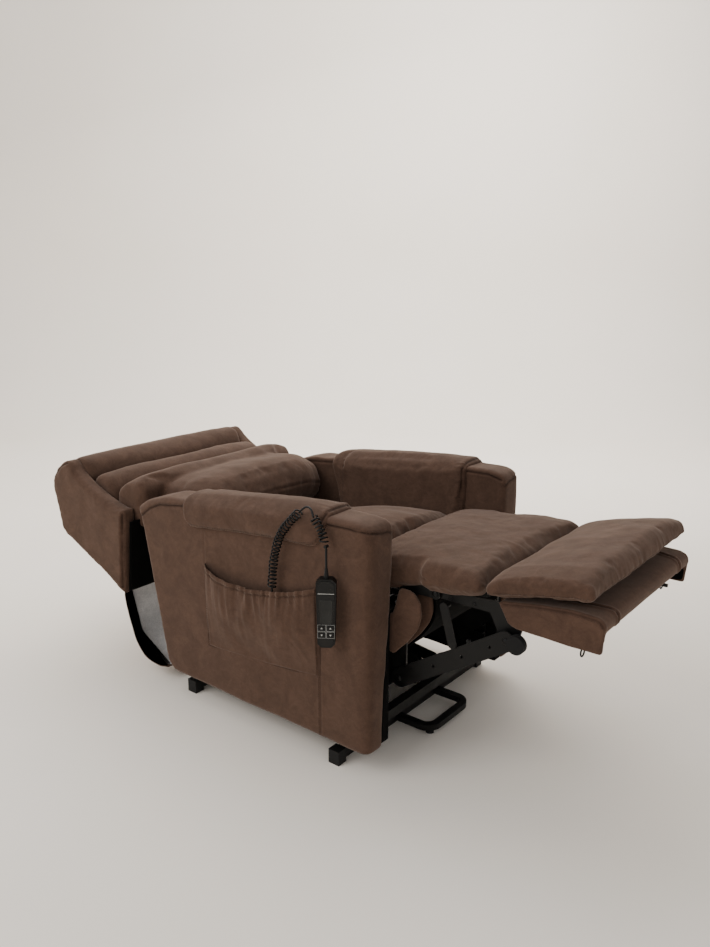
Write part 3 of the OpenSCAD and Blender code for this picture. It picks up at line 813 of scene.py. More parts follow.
def side_pocket():
    """Gathered pocket on the right arm: a full sheet that stands off the arm at its elastic mouth."""
    mouth = smooth_curve([[125, 423], [60, 407], [-39, 403], [-150, 420], [-225, 441], [-268, 456]], 90)
    foot = smooth_curve([[127, 187], [50, 190], [-70, 200], [-180, 212], [-267, 222]], 90)
    rows, cols = 70, 90
    front = []
    for i in range(rows):
        v = i / (rows - 1)
        line = foot + (mouth - foot) * v
        u = np.linspace(0, 1, cols)
        side = np.sin(math.pi * u) ** 0.35
        fall = 1 - (1 - v) ** 3
        belly = side * (17 * np.sin(math.pi * min(v * 0.62 + 0.05, 1)) + 8 * v) * fall
        gather = math.exp(-(1 - v) / 0.30)
        wave = noise(np.stack([u * 34, u * 0 + v * 2.2, u * 0], 1), 31)
        wave += 0.6 * noise(np.stack([u * 61, u * 0 + v * 3.0, u * 0], 1), 32)
        cuff = 1.2 * math.exp(-((v - 0.97) / 0.02) ** 2) - 1.2 * math.exp(-((v - 0.93) / 0.012) ** 2)
        sag = noise(np.stack([u * 7 + v * 2.2, u * 0 + v * 1.6, u * 0], 1), 33) * 8.0 * side
        sag += noise(np.stack([u * 15 - v * 3.0, u * 0 + v * 1.5, u * 0], 1), 34) * 4.4 * side * v
        stand = 1.1 * belly + side * (wave * 5.6 * gather + cuff) + sag * fall
        x = -(HALF_W + 0.6 + np.maximum(stand, 0.2))
        ruffle = wave * 2.2 * side * max(v - 0.9, 0) / 0.1
        front.append(np.column_stack([x, line[:, 0], line[:, 1] + ruffle]))
    front = np.array(front)
    back = front + np.array([2.2, 0, 0])
    verts = np.vstack([front.reshape(-1, 3), back.reshape(-1, 3)]).tolist()
    n = rows * cols
    faces = ring_faces(rows, cols, 0, False) + [f[::-1] for f in ring_faces(rows, cols, n, False)]
    rim = list(range(cols)) + [r * cols + cols - 1 for r in range(1, rows)]
    rim += [(rows - 1) * cols + c for c in range(cols - 2, -1, -1)]
    rim += [r * cols for r in range(rows - 2, 0, -1)]
    faces += [(a, b, b + n, a + n) for a, b in zip(rim, rim[1:] + rim[:1])]
    obj = fix_normals(mesh_object("pocket_cover", verts, faces, SUEDE))
    subdivide(obj)
    border = np.vstack([front[::-1, 1], front[1], front[:, -2]])
    shape(obj, seam(border, 2.4, 3.0, 0.6, 0.8, 24, 36, seed=35),
          seam(front[65], 0.9, 2.0, 0.4, 2.0, 8, 40, seed=36))
    keep(obj, "chassis", "suede", "side_pocket")
    threads = stitches(obj, front[64][2:-2], 6.0)
    threads += stitches(obj, front[:, 2], 6.2) + stitches(obj, front[:, -3], 6.2)
    thread_piece("pocket_stitching", threads, "chassis")


# ---------------------------------------------------------------- seat and leg rest

def cushion(name, edge, mid, half, corner, voxel, material, pressure, cap, grow=0.02, radii=14,
            power=2.4, bend=None):
    """Stuffed cushion across the chair: loft, even mesh, cloth inflation, one subdivision."""
    n = 200
    verts, faces = pillow(rounded(edge, radii, n), rounded(mid, radii, n), half, corner, power)
    v = np.array(verts)
    if bend is not None:
        v = bend(v)
    obj = solid(name, [(v, faces)], voxel, material)
    relax(obj, 2)
    puff(obj, pressure, cap, grow)
    subdivide(obj)
    return obj


def seat_cushion():
    """Crowned seat cushion between the arms."""
    edge = [[128, 402], [87, 420], [-65, 448], [-207, 464], [-262, 470], [-287, 455], [-300, 425],
            [-300, 400], [-280, 386], [125, 362]]
    mid = [[124, 420], [66, 466], [-65, 500], [-200, 516], [-262, 514], [-290, 492], [-303, 450],
           [-300, 400], [-280, 386], [125, 362]]
    obj = cushion("seat_cover", edge, mid, ARM_IN - 4, 22, 8, SUEDE_PAD, 3.0, 14)
    front = [[-236, -262, 480], [-150, -284, 508], [0, -290, 516], [150, -284, 508], [236, -262, 480]]
    right = [[-240, 100, 418], [-243, -60, 452], [-243, -200, 470]]
    shape(obj, seam(front, 1.0, 6, 0, 3.2, 34, 90, seed=41),
          seam(right, 1.0, 6, 0, 2.0, 40, 60, seed=42),
          seam(flip(right, -1), 1.0, 6, 0, 2.0, 40, 60, seed=43),
          ripples(110, 3.0, 44), ripples(45, 1.0, 45))
    keep(obj, "seat", "suede_pad", "seat_cushion")


def knee_pad():
    """Pad that bridges the seat and the leg rest, baked in place."""
    edge = [[-290, 455], [-289, 488], [-312, 502], [-400, 513], [-461, 519], [-541, 525], [-600, 528],
            [-636, 527], [-648, 514], [-632, 499], [-548, 484], [-410, 463], [-330, 446]]
    mid = [[-292, 462], [-291, 502], [-322, 521], [-400, 534], [-461, 537], [-541, 538], [-600, 537],
           [-638, 533], [-650, 515], [-632, 499], [-548, 482], [-410, 458], [-330, 446]]

    def widen(v):
        v[:, 0] *= 1 + 0.056 * step(-v[:, 1], 462, 492)
        return v
    obj = cushion("knee_pad_cover", edge, mid, ARM_IN - 5, 15, 7, SUEDE_PAD, 3.0, 12, 0.035, 12, 3.2, widen)
    low = [[-262, -420, 470], [-266, -500, 480], [-267, -560, 488], [-267, -640, 502]]
    crease = [[-250, -292, 488], [-120, -292, 508], [0, -292, 512], [120, -292, 508], [250, -292, 488]]
    front = [[-262, -644, 514], [0, -648, 520], [262, -644, 514]]
    shape(obj, seam(low, 2.2, 5, 0.8, 3.6, 24, 60, seed=51),
          seam(flip(low, -1), 2.2, 5, 0.8, 3.2, 24, 60, seed=52),
          seam(crease, 1.5, 6, 0, 3.4, 36, 80, seed=53),
          seam(front, 1.5, 6, 0, 2.4, 30, 70, seed=54),
          ripples(90, 2.6, 55), ripples(36, 1.1, 56))
    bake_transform(obj)
    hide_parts("extension_pad")


def leg_pad():
    """Pad on top of the leg rest board."""
    edge = [[-649, 516], [-655, 534], [-680, 549], [-729, 564], [-803, 581], [-864, 590], [-884, 585],
            [-894, 562], [-886, 552], [-840, 545], [-760, 529], [-690, 514], [-656, 508]]
    mid = [[-650, 518], [-656, 540], [-682, 556], [-729, 572], [-803, 590], [-862, 597], [-886, 590],
           [-897, 564], [-886, 551], [-840, 543], [-760, 527], [-690, 513], [-656, 508]]

    def roll(v):
        # the ends roll down to the bottom seam
        u = np.clip((np.abs(v[:, 0]) - 240) / 30, 0, 1)
        foot = np.interp(-v[:, 1], [656, 690, 760, 840, 886], [508, 514, 529, 545, 552])
        v[:, 2] -= 0.36 * (1 - np.sqrt(1 - 0.98 * u * u)) * np.maximum(v[:, 2] - foot, 0)
        return v
    obj = cushion("leg_pad_cover", edge, mid, 270, 4, 6, SUEDE_PAD, 2.5, 6, 0.015, 7, 4, roll)
    low_edge = [[268, -656, 508], [270, -690, 515], [270, -760, 530], [270, -840, 547], [266, -888, 555],
                [0, -893, 557], [-266, -888, 555], [-270, -840, 547], [-270, -760, 530], [-270, -690, 515],
                [-268, -656, 508]]
    corner = [[-268, -884, 586], [-271, -891, 572], [-271, -893, 556]]
    back = [[-266, -652, 518], [0, -653, 526], [266, -652, 518]]
    shape(obj, seam(low_edge, 1.6, 3.2, 1.6, 2.4, 26, 46, seed=62),
          seam(corner, 3.4, 4.0, 1.4, 2.6, 22, 46, seed=64),
          seam(flip(corner, -1), 3.4, 4.0, 1.4, 2.6, 22, 46, seed=66),
          seam(back, 1.0, 6, 0, 2.0, 40, 80, seed=63),
          ripples(85, 1.8, 64), ripples(34, 0.6, 65))
    keep(obj, "footrest", "suede_pad", "leg_pad")
    threads = stitches(obj, np.array(low_edge) + np.array([0, 0, 5.0]), 6.2)
    thread_piece("leg_pad_stitching", threads, "footrest")


def footrest_board():
    """Padded board: a thin top with an upholstered side panel hanging at each end."""
    n = 180
    top = rounded([[-676, 497], [-686, 480], [-800, 478], [-904, 484], [-911, 490], [-911, 507],
                   [-899, 518], [-840, 520], [-760, 511]], [6, 6, 10, 3, 3, 12, 14, 20, 20], n)
    panel = rounded([[-676, 497], [-700, 453], [-716, 445], [-890, 442], [-907, 443], [-910, 486],
                     [-911, 505], [-899, 517], [-840, 519], [-760, 510]],
                    [5, 5, 8, 10, 3, 6, 8, 14, 20, 20], n)
    stations = [(x, inset(top, d)) for x, d in edge_rounding(251, 4)]
    stations[6:6] = [(x, top) for x in np.linspace(-236, 236, 11)]
    parts = [closed_loft(stack_x(stations))]
    for side in (-1, 1):
        rows = [(side * 246 + x, inset(panel, d)) for x, d in edge_rounding(6.5, 3)]
        parts.append(closed_loft(stack_x(rows)))
    obj = solid("board_cover", parts, 4.5, SUEDE)
    relax(obj, 1)
    subdivide(obj)
    edges = [line_at(252 * side, [[-690, 494], [-760, 507], [-840, 516], [-897, 514], [-908, 502]])
             for side in (-1, 1)]
    piping = [[-200, -800, 515], [-199, -842, 520], [-190, -886, 519], [-184, -908, 508], [-185, -912, 488]]
    shape(obj, seam(edges[0], 1.4, 3, 1.0, 0.5, 30, 24, seed=71),
          seam(edges[1], 1.4, 3, 1.0, 0.5, 30, 24, seed=72),
          seam(piping, 2.4, 3, 2.0, 0.5, 30, 24, seed=73),
          seam(flip(piping, -1), 2.4, 3, 2.0, 0.5, 30, 24, seed=74),
          ripples(120, 1.2, 75), ripples(44, 0.5, 76))
    keep(obj, "footrest", "suede", "footrest_board")
    path = np.array([[-700, 474.0], [-800, 474.5], [-896, 479.0]])
    under = sheet("board_lining", path, 236, 2.0, BLACK_LINING_AND_SHADE, 0.8, 77)
    keep(under, "footrest", "lining")
    face = rounded([[-704, 476], [-718, 450], [-892, 448], [-904, 451], [-906, 478]], 5, 80)
    for side, end in ((1, "left"), (-1, "right")):
        rows = [(side * 238.6 + x, inset(face, d)) for x, d in edge_rounding(0.9, 0.6)]
        verts, faces = closed_loft(stack_x(rows))
        keep(fix_normals(mesh_object("panel_lining_" + end, verts, faces, BLACK_LINING_AND_SHADE)), "footrest", "lining")
    threads = []
    for line in edges + [piping, flip(piping, -1)]:
        threads += stitches(obj, np.array(line) + np.array([0, 0, -4.0]), 6.4)
    thread_piece("board_stitching", threads, "footrest")


def front_rail_cover():
    """Upholstered front of the seat, with a black sheet over its middle as painted shade."""
    outline = rounded([[-390, 296], [-408, 290], [-450, 336], [-474, 371], [-483, 402], [-480, 436],
                       [-460, 459], [-422, 461], [-405, 396], [-389, 388]], 9, 150)
    parts = []
    for centre, half in ((0, 205.5), (245, 5.8), (-245, 5.8)):
        rows = edge_rounding(half, min(5, half * 0.8))
        if half > 100:
            rows[6:6] = [(x, 0.0) for x in np.linspace(-180, 180, 7)]
        parts.append(closed_loft(stack_x([(centre + x, inset(outline, d)) for x, d in rows])))
    obj = solid("front_rail_fabric", parts, 4.5, SUEDE)
    relax(obj, 1)
    subdivide(obj)
    shape(obj, ripples(90, 1.6, 81, (1.6, 1, 1)), ripples(34, 0.6, 82))
    keep(obj, "seat", "suede", "front_rail_cover")
    # painted shade: a black sheet hung in front of the middle of the rail cover to darken it
    path = smooth_curve([[-413, 292], [-454, 335], [-478, 371], [-487, 402], [-484, 437], [-466, 460]], 40)
    cloth = sheet("front_rail_shade_sheet", path, 196, 1.6, BLACK_LINING_AND_SHADE, 0.8, 83)
    keep(cloth, "seat", "lining")


# ---------------------------------------------------------------- back

WING = [[456, 496], [481, 243], [773, 375], [813, 518], [794, 560], [752, 596], [716, 611], [664, 568],
        [560, 524]]


def wing(side, name):
    """Padded side of the back, a closed form between two piped outlines."""
    ring = rounded(WING, [6, 3, 24, 34, 30, 30, 26, 60, 60], 240)
    half = (HALF_W - WING_IN) / 2
    rows = edge_rounding(half, 6)
    rows[6:6] = [(x, 0.0) for x in (-8, 0, 8)]
    centre = (HALF_W + WING_IN) / 2
    verts, faces = closed_loft(stack_x([(centre + x, inset(ring, d)) for x, d in rows]))
    obj = solid(name, [(flip(verts, side), faces)], 7, SUEDE)
    relax(obj, 2)
    puff(obj, 1.5, 5, 0.01)
    subdivide(obj)
    rim = [[466, 488], [486, 262], [766, 386], [803, 516], [785, 554], [747, 586], [716, 600]]
    outer = flip(line_at(HALF_W, rim), side)
    inner = flip(line_at(WING_IN, rim), side)
    shape(obj, seam(outer, 2.6, 3.4, 1.4, 0.9, 26, 30, seed=91),
          seam(inner, 2.6, 3.4, 1.4, 0.9, 26, 30, seed=92),
          ripples(110, 1.8, 93), ripples(42, 0.7, 94))
    keep(obj, "back", "suede", name.replace("_cover", ""))
    threads = stitches(obj, outer + flip([[0, -5, 0]], side), 6.2)
    thread_piece(name.replace("cover", "stitching"), threads, "back")


BACK_DIR = np.array([0.0, 0.92, 0.39])


def bow(amount):
    """Bends a bolster so that its middle lies further down the back than its ends."""
    def effect(v):
        w = 1 - np.clip(np.abs(v[:, 0]) / 306, 0, 1) ** 2
        return v - BACK_DIR * (amount * w)[:, None]
    return effect


def lumbar():
    """Lumbar cushion: a low roll between the arms and a wider roll behind them, in one cover."""
    n = 200
    low_edge = rounded([[232, 500], [238, 462], [262, 440], [300, 430], [440, 430], [482, 440], [486, 540],
                        [400, 562], [300, 566], [250, 548]], 12, n)
    low_mid = rounded([[206, 530], [220, 468], [256, 436], [300, 426], [440, 428], [482, 440], [492, 548],
                       [420, 574], [304, 588], [230, 576]], 14, n)
    low_part = pillow(low_edge, low_mid, ARM_IN - 10, 9, 4.4)
    top_edge = rounded([[446, 446], [510, 431], [536, 450], [550, 490], [541, 538], [514, 560], [450, 578],
                        [424, 552]], 8, n)
    top_mid = rounded([[436, 446], [510, 433], [546, 455], [562, 500], [552, 552], [514, 576], [450, 598],
                       [404, 584]], 16, n)
    top_part = pillow(top_edge, top_mid, 308, 9, 4.6)
    obj = solid("lumbar_cover", [low_part, (bow(14)(np.array(top_part[0])), top_part[1])], 7, SUEDE_PAD)
    relax(obj, 5)
    puff(obj, 2.5, 8, 0.015)
    subdivide(obj)
    top = [[-300, 548, 530], [-150, 546, 556], [0, 540, 566], [150, 546, 556], [300, 548, 530]]
    side_line = [[242, 240, 480], [244, 300, 500], [245, 400, 515], [246, 470, 530]]
    low_line = [[-240, 236, 498], [-150, 218, 520], [0, 210, 528], [150, 218, 520], [240, 236, 498]]
    shape(obj, seam(top, 1.0, 6, 0, 2.2, 50, 110, seed=101),
          seam(low_line, 1.6, 4, 0.8, 2.0, 40, 80, seed=106),
          seam(side_line, 1.5, 5, 0.5, 2.4, 36, 70, seed=102),
          seam(flip(side_line, -1), 1.5, 5, 0.5, 2.4, 36, 70, seed=103),
          ripples(120, 3.0, 104), ripples(50, 1.0, 105))
    keep(obj, "back", "suede_pad", "lumbar_cushion")
    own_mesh(obj)


def bolster(name, node_name, edge, mid, amount, seed, half=308):
    """Roll across the back, bowed by amount, with puckers along both of its seams."""
    obj = cushion(name, edge, mid, half, 18, 6.5, SUEDE_PAD, 3.0, 9, 0.012, 14, 3.6, bow(amount))
    across = np.linspace(-300, 300, 7)
    dip = amount * 0.92 * (1 - (across / 306) ** 2)
    effects = []
    for k, place in enumerate((edge[0], edge[2])):
        line = np.column_stack([across, place[0] - dip, np.full(7, place[1] + 40)])
        effects.append(seam(line, 0.6, 6, 0, 1.7, 64, 80, seed=seed + k))
    shape(obj, *effects, ripples(110, 2.4, seed + 8, (1.8, 1, 1)), ripples(44, 0.8, seed + 9))
    return keep(obj, "back", "suede_pad", node_name)


def back_cover():
    """Outer cover of the back: rear face and rounded top."""
    path = smooth_curve([[480, 256], [560, 292], [680, 343], [762, 379], [785, 440], [799, 505], [790, 535],
                         [770, 552]], 70)
    along = directions(path)
    inward = np.stack([-along[:, 1], along[:, 0]], 1)
    ring = np.vstack([path, (path + inward * 9)[::-1]])
    rows = np.linspace(-WING_IN + 1, WING_IN - 1, 40)
    rings = [np.column_stack([np.full(len(ring), x), ring]) for x in rows]
    obj = solid("back_cover", [closed_loft(rings)], 6.5, SUEDE)
    subdivide(obj)
    line = [[x, 768, 384] for x in np.linspace(-300, 300, 7)]
    shape(obj, seam(line, 2.2, 4, 1.0, 0.8, 30, 40, seed=121), ripples(130, 2.2, 122), ripples(45, 0.6, 123))
    keep(obj, "back", "suede", "back_shell")


def sheet(name, path, half, thick, material, bumpy, seed):
    """Cloth sheet across the chair along a [y, z] path."""
    along = directions(path)
    normal = np.stack([-along[:, 1], along[:, 0]], 1)
    ring = np.vstack([path + normal * thick / 2, (path - normal * thick / 2)[::-1]])
    rows = np.linspace(-half, half, 90)
    rings = np.array([np.column_stack([np.full(len(ring), x), ring]) for x in rows])
    flat = rings.reshape(-1, 3)
    push = bumpy * noise(flat / np.array([90, 60, 60]), seed) + 0.4 * bumpy * noise(flat / 32, seed + 1)
    direction = np.tile(np.vstack([normal, normal[::-1]]), (len(rows), 1))
    flat = flat + np.column_stack([np.zeros(len(push)), push * direction[:, 0], push * direction[:, 1]])
    verts, faces = closed_loft(flat.reshape(rings.shape))
    return fix_normals(mesh_object(name, verts, faces, material))


def rear_flap():
    """Fabric between the back and the seat, brown outside and light inside."""
    path = smooth_curve([[512, 268], [520, 221], [512, 173], [484, 97], [458, 63], [430, 46], [377, 39],
                         [338, 46]], 60)
    outer = sheet("rear_flap_fabric", path, 320, 2.4, SUEDE, 3.0, 131)
    along = directions(path)
    inner = sheet("rear_flap_backing", path + np.stack([-along[:, 1], along[:, 0]], 1) * -4.5, 309, 1.4,
                  BACKING, 3.0, 131)
    for piece in (outer, inner):
        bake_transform(piece)
    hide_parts("rear_flap")
    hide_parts("rear_flap")


def back_lining():
    """Black cloth across the underside of the back, and the cloth bridge from the seat to the back."""
    path = smooth_curve([[474, 250], [467, 300], [459, 380], [450, 466]], 30)
    panel = sheet("back_lining", path, 338, 2.0, BLACK_LINING_AND_SHADE, 1.0, 141)
    keep(panel, "back", "lining")
    path = smooth_curve([[110, 372], [170, 352], [225, 372], [262, 424]], 40)
    bridge = sheet("seat_back_bridge", path, 236, 2.0, BLACK_LINING_AND_SHADE, 2.0, 142)
    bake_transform(bridge)


# ---------------------------------------------------------------- leads and handset

def coil(points, radius, wire, pitch):
    """(vertices, faces) of a coiled lead along a path."""
    path = smooth_curve(points, 400)
    along = np.gradient(path, axis=0)
    step_len = np.linalg.norm(along, axis=1)
    along /= step_len[:, None]
    total = step_len.sum()
    turns = total / pitch
    count = int(turns * 14)
    at = np.linspace(0, 1, count)
    grid = np.linspace(0, 1, len(path))
    centre = np.stack([np.interp(at, grid, path[:, k]) for k in range(3)], 1)
    t = np.stack([np.interp(at, grid, along[:, k]) for k in range(3)], 1)
    side = np.cross(t, [1.0, 0, 0])
    side /= np.linalg.norm(side, axis=1)[:, None]
    up = np.cross(side, t)
    turn = 2 * math.pi * turns * at[:, None]
    turn = turn + 0.35 * np.sin(turn / 4.3)
    radius = radius * (1 + 0.05 * np.sin(turn / 5.3))
    return tube_mesh(centre + radius * (np.cos(turn) * side + np.sin(turn) * up), wire, 7)


def leads():
    """The coiled lead over the arm, in two coils joined by a smooth stretch."""
    x = -373
    first = [[x, -137, 428], [x, -139, 450], [x, -144, 491], [x, -153, 528], [x, -169, 569],
             [x + 1, -196, 604], [x + 6, -222, 632]]
    second = [[x + 2, -270, 630], [x, -288, 612], [x, -299, 594], [x, -303, 578]]
    over = smooth_curve([first[-1], [x + 10, -240, 647], [x + 9, -256, 645], second[0]], 24)
    tail = smooth_curve([[x, -137, 428], [x + 6, -132, 412], [x + 9, -126, 392]], 12)
    parts = [coil(first, 9.2, 1.9, 9.8), coil(second, 8.8, 1.9, 8.6), tube_mesh(over, 2.4, 10),
             tube_mesh(tail, 2.4, 10)]
    verts, faces = joined(parts)
    obj = mesh_object("coiled_lead", verts, faces, CORD)
    keep(obj, "chassis", "cord", "coil_cord")


HAND_LOW, HAND_HIGH = span("handset_case")
HAND_MID = (HAND_LOW + HAND_HIGH) / 2
HAND_TOP = HAND_HIGH[2]
HAND_TURN = math.radians(35)
HAND_FACE_X = -13.5
KEY_SPACING = (20, 17)
KEY_TOP = HAND_TOP - 116
KEY_HALF = (9.3, 7.8)
KEY_LINE = 0.45


def in_hand(points):
    """Places in the handset's own frame (face towards -X, z as in the chair) turned into the chair's."""
    p = np.asarray(points, float)
    c, s = math.cos(HAND_TURN), math.sin(HAND_TURN)
    return np.column_stack([HAND_MID[0] + c * p[:, 0] - s * p[:, 1], HAND_MID[1] + s * p[:, 0] + c * p[:, 1],
                            p[:, 2]])


def hand_box(x, y, z):
    """(vertices, faces) of a box in the handset's own frame, from (low, high) pairs."""
    corners = [[a, b, c] for a in x for b in y for c in z]
    faces = [(0, 1, 3, 2), (4, 6, 7, 5), (0, 4, 5, 1), (2, 3, 7, 6), (0, 2, 6, 4), (1, 5, 7, 3)]
    return in_hand(corners).tolist(), faces


def key_place(col, row):
    """Middle of a button in the handset's own frame."""
    return (0.5 - col) * KEY_SPACING[0], KEY_TOP - row * KEY_SPACING[1]


def handset_details():
    """Plain line, window, button outlines and arrows."""
    face = HAND_FACE_X
    printed = []
    # a pale line round the top, and an outline round every button
    printed.append(hand_box((face - 0.35, face + 0.3), (-18.5, 18.5), (HAND_TOP - 34, HAND_TOP - 32.8)))
    for col in (0, 1):
        for row in (0, 1):
            y, z = key_place(col, row)
            w, h = KEY_HALF
            t = KEY_LINE
            for ys, zs in (((y - w, y + w), (z + h - t, z + h)), ((y - w, y + w), (z - h, z - h + t)),
                           ((y - w, y - w + t), (z - h, z + h)), ((y + w - t, y + w), (z - h, z + h))):
                printed.append(hand_box((face - 0.3, face + 0.3), ys, zs))
    verts, faces = joined(printed)
    obj = fix_normals(mesh_object("handset_print", verts, faces, PRINT, False))
    keep(obj, "handset", "handset_front")
    # raised window above the buttons, narrower at its foot
    window = rounded([[-15, HAND_TOP - 48], [15, HAND_TOP - 48], [13, HAND_TOP - 106],
                      [-13, HAND_TOP - 106]],
                     5, 60)
    rings = [np.column_stack([np.full(60, face + x), inset(window, d)]) for x, d in
             ((0.2, 0), (-0.5, 0), (-0.9, 0.5), (-0.9, 2.0), (-0.5, 2.6))]
    verts, faces = closed_loft([in_hand(r) for r in rings])
    obj = fix_normals(mesh_object("handset_window", verts, faces, HAND_WINDOW, False))
    keep(obj, "handset", "handset_front")
    # small arrows on the buttons: a triangle that points up or down on each
    for name, col, row, up in (("back_up", 0, 0, 1), ("back_down", 0, 1, -1), ("legs_up", 1, 0, 1),
                               ("legs_down", 1, 1, -1)):
        y, z = key_place(col, row)
        tri = [[y - 2.6, z - 1.8 * up], [y + 2.6, z - 1.8 * up], [y, z + 2.4 * up]]
        front = [[face - 1.75, a, b] for a, b in tri]
        rear = [[face - 1.3, a, b] for a, b in tri]
        mark = mesh_object("mark_" + name, in_hand(front + rear), [(0, 1, 2), (5, 4, 3), (0, 3, 4, 1),
                                                                 (1, 4, 5, 2), (2, 5, 3, 0)], PRINT, False)
        keep(fix_normals(mark), "key_" + name, "handset_key")


# ---------------------------------------------------------------- steelwork

def rivet(x, place, radius, out):
    """(vertices, faces) of a domed rivet head at width place x, facing out (1 or -1) along X."""
    rings = []
    for a in np.linspace(0.02, math.pi / 2, 6):
        r = radius * math.sin(a)
        lift = out * radius * 0.45 * math.cos(a)
        turn = np.linspace(0, 2 * math.pi, 20, endpoint=False)
        rings.append(np.column_stack([np.full(20, x + lift), place[0] + r * np.cos(turn),
                                      place[1] + r * np.sin(turn)]))
    return closed_loft(rings)


def rivets():
    """Rivet and bolt heads on the moving steelwork, both sides."""
    seat_parts = []
    foot_parts = []
    low_pin = joint_place("lower_link_swing")[1:]
    top_pin = joint_place("upper_link_swing")[1:]
    for side in (-1, 1):
        for place in (FOOT_PIN[1:], BACK_PIN[1:]):
            seat_parts.append(rivet(222 * side, place, 9, side))
        seat_parts.append(rivet(229.2 * side, low_pin, 8, side))
        foot_parts.append(rivet(233.8 * side, top_pin, 8, side))
        for y in (-540, -600):
            foot_parts.append(rivet(215.2 * side, (y, 458), 5, side))
    for body, parts in (("seat", seat_parts), ("footrest", foot_parts)):
        verts, faces = joined(parts)
        obj = fix_normals(mesh_object(body + "_rivets", verts, faces, STEEL))
        keep(obj, body, "zinc")


FINISH = {
    "base_frame": STEEL, "base_front_loop": STEEL, "foot_end_caps": PLASTIC, "loop_pads": RUBBER,
    "base_pivot_ears": STEEL, "power_supply": PLASTIC, "lift_arms": STEEL, "front_lift_links": STEEL,
    "lift_motor_housing": MOTOR, "lift_rod": ROD, "chassis_rails": STEEL, "chassis_cross_bars": STEEL,
    "chassis_pivot_plates": STEEL, "seat_tracks": STEEL, "arm_bolts": ZINC, "seat_side_plates": STEEL,
    "seat_cross_bars": STEEL, "seat_springs": ZINC, "seat_rollers": PLASTIC, "footrest_brackets": STEEL,
    "footrest_cross_bar": STEEL, "footrest_bumpers": RUBBER, "footrest_struts": STEEL,
    "footrest_eye_rings": STEEL, "lower_footrest_links": STEEL, "upper_footrest_links": STEEL,
    "recline_motor_housing": MOTOR, "recline_rod": ROD, "back_hinge_brackets": STEEL, "back_frame": WOOD,
    "back_springs": ZINC, "handset_case": HAND, "handset_face": HAND_FACE, "handset_lead": CORD,
    "button_back_up": HAND_KEY, "button_back_down": HAND_KEY, "button_legs_up": HAND_KEY,
    "button_legs_down": HAND_KEY,
}


def finish_nodes():
    """Gives the CAD nodes that are shown their materials and small edge bevels."""
    for name, material in FINISH.items():
        obj = frame["nodes"][name]
        obj.data.materials.clear()
        obj.data.materials.append(material)
        if name.startswith(("handset_case", "button", "foot_end", "power")):
            bevel = obj.modifiers.new("Bevel", "BEVEL")
            bevel.width = (2.2 if name == "handset_case" else 1.0) * MM
            bevel.segments = 3
            bevel.limit_method = "ANGLE"
            bevel.angle_limit = math.radians(40)


# ---------------------------------------------------------------- studio

VIEW_FROM = np.array([-1.7360, -1.4673, 1.2008])
VIEW_TURN = math.radians(-51.667)
VIEW_DOWN = math.radians(14.489)
VIEW_ROLL = math.radians(0.192)
LENS = 32.21
SENSOR = 36
FLOOR_FRONT, FLOOR_REAR, FLOOR_CURVE, WALL_TOP = -6, 3.2, 1.2, 5.5


def camera():
    """Camera at the solved place; lens is set for a 36 mm wide sensor."""
    a, e = VIEW_TURN, VIEW_DOWN
    ahead = Vector((-math.sin(a) * math.cos(e), math.cos(a) * math.cos(e), -math.sin(e)))
    right = ahead.cross(Vector((0, 0, 1))).normalized()
    up = right.cross(ahead)
    across = right * math.cos(VIEW_ROLL) + up * math.sin(VIEW_ROLL)
    above = up * math.cos(VIEW_ROLL) - right * math.sin(VIEW_ROLL)
    cam = bpy.data.cameras.new("camera")
    cam.lens = LENS
    cam.sensor_width = SENSOR
    cam.clip_end = 50
    obj = bpy.data.objects.new("camera", cam)
    scene.collection.objects.link(obj)
    obj.matrix_world = Matrix((
        (across.x, above.x, -ahead.x, VIEW_FROM[0]), (across.y, above.y, -ahead.y, VIEW_FROM[1]),
        (across.z, above.z, -ahead.z, VIEW_FROM[2]), (0, 0, 0, 1)))
    scene.camera = obj


def lamp(name, place, aim, size, watts, colour):
    """Rectangular area light; lengths are metres."""
    data = bpy.data.lights.new(name, "AREA")
    data.shape = "RECTANGLE"
    data.size, data.size_y = size
    data.energy = watts
    data.color = colour
    obj = bpy.data.objects.new(name, data)
    scene.collection.objects.link(obj)
    obj.location = place
    obj.rotation_euler = (Vector(aim) - Vector(place)).to_track_quat("-Z", "Y").to_euler()


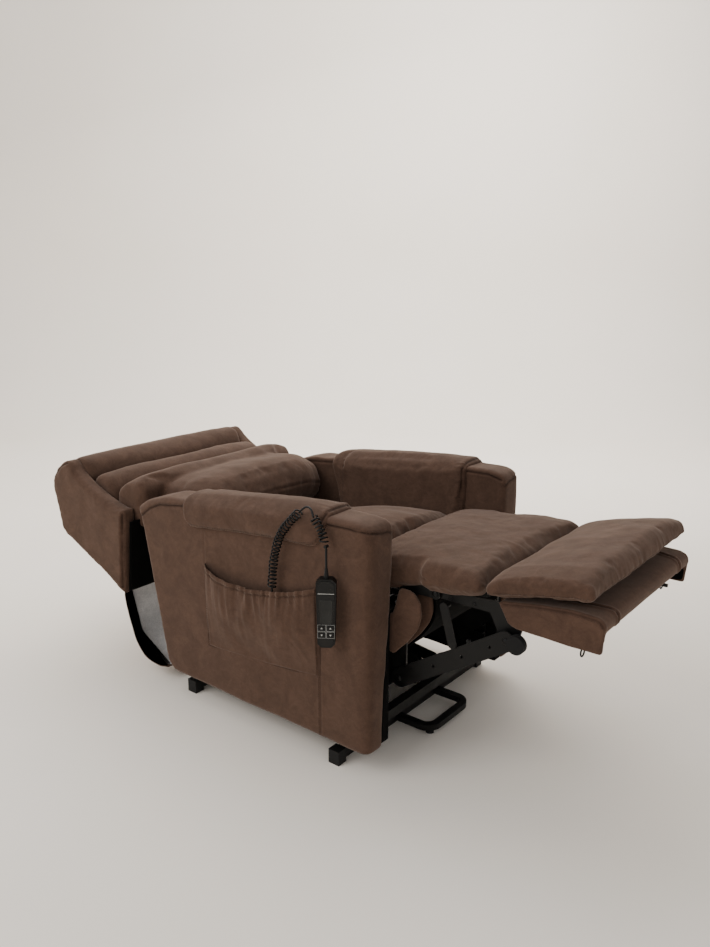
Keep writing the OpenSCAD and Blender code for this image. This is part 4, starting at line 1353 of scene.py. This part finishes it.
def studio():
    """Pale floor that curves up into a backdrop, soft key, fill and top light."""
    ahead = np.array([-math.sin(VIEW_TURN), math.cos(VIEW_TURN)])
    right = np.array([ahead[1], -ahead[0]])
    profile = [(s, 0.0) for s in np.linspace(FLOOR_FRONT, FLOOR_REAR, 12)]
    turn = np.linspace(0, math.pi / 2, 16)[1:]
    profile += [(FLOOR_REAR + FLOOR_CURVE * math.sin(t), FLOOR_CURVE * (1 - math.cos(t))) for t in turn]
    profile += [(FLOOR_REAR + FLOOR_CURVE, z) for z in (3, WALL_TOP)]
    rows = []
    for s, z in profile:
        for w in (-9, -3, 3, 9):
            place = ahead * s + right * w
            rows.append([place[0] / MM, place[1] / MM, z / MM])
    mat, tree, bsdf = new_material("backdrop")
    tone = noise_node(tree, 1.3, 3, 0.5)
    tree.links.new(ramp(tree, tone, (0.88, 0.815, 0.73), (0.90, 0.835, 0.755)), bsdf.inputs["Base Color"])
    bsdf.inputs["Roughness"].default_value = 0.85
    bsdf.inputs["Specular IOR Level"].default_value = 0.2
    floor = mesh_object("backdrop", rows, ring_faces(len(profile), 4, 0, False), mat)
    world = scene.world or bpy.data.worlds.new("world")
    scene.world = world
    world.use_nodes = True
    background = world.node_tree.nodes["Background"]
    background.inputs["Color"].default_value = (0.96, 0.95, 0.94, 1)
    background.inputs["Strength"].default_value = 0.75
    lamp("key", (-3.8, 1.4, 3.4), (0, 0.1, 0.4), (2.8, 2.8), 112, (1, 0.985, 0.96))
    lamp("fill", (-3.0, -2.2, 1.6), (0.3, 0.1, 0.5), (2.2, 1.8), 5, (0.97, 0.98, 1))
    lamp("top", (1.0, 1.8, 3.8), (0, 0, 0.3), (3.4, 3.4), 104, (1, 0.99, 0.97))
    lamp("backdrop_wash", (2.2, 0.2, 3.0), (3.8, 3.2, 1.0), (2.4, 2.4), 150, (1, 0.98, 0.95))


# ---------------------------------------------------------------- build

for arm_side, arm_word in ((-1, "right"), (1, "left")):
    arm_body(arm_side, "arm_cover_" + arm_word)
    arm_lining(arm_side, "arm_lining_fabric_" + arm_word)
    arm_pad(arm_side, "arm_pad_cover_" + arm_word)
    wing(arm_side, "back_wing_cover_" + arm_word)
side_pocket()
seat_cushion()
knee_pad()
leg_pad()
footrest_board()
front_rail_cover()
lumbar()
bolster("middle_bolster_cover", "middle_bolster",
        [[562, 456], [646, 492], [660, 520], [656, 552], [628, 570], [584, 562], [558, 534], [552, 480]],
        [[562, 456], [646, 492], [666, 524], [664, 566], [634, 588], [584, 582], [554, 556], [548, 486]],
        20, 151)
bolster("head_bolster_cover", "head_bolster",
        [[664, 500], [736, 516], [774, 530], [780, 564], [752, 598], [714, 612], [680, 600], [662, 562]],
        [[664, 500], [736, 516], [776, 532], [782, 566], [752, 604], [714, 618], [680, 608], [660, 568]],
        14, 171, 312)
back_cover()
rear_flap()
back_lining()
leads()
handset_details()
rivets()
finish_nodes()
studio()
camera()
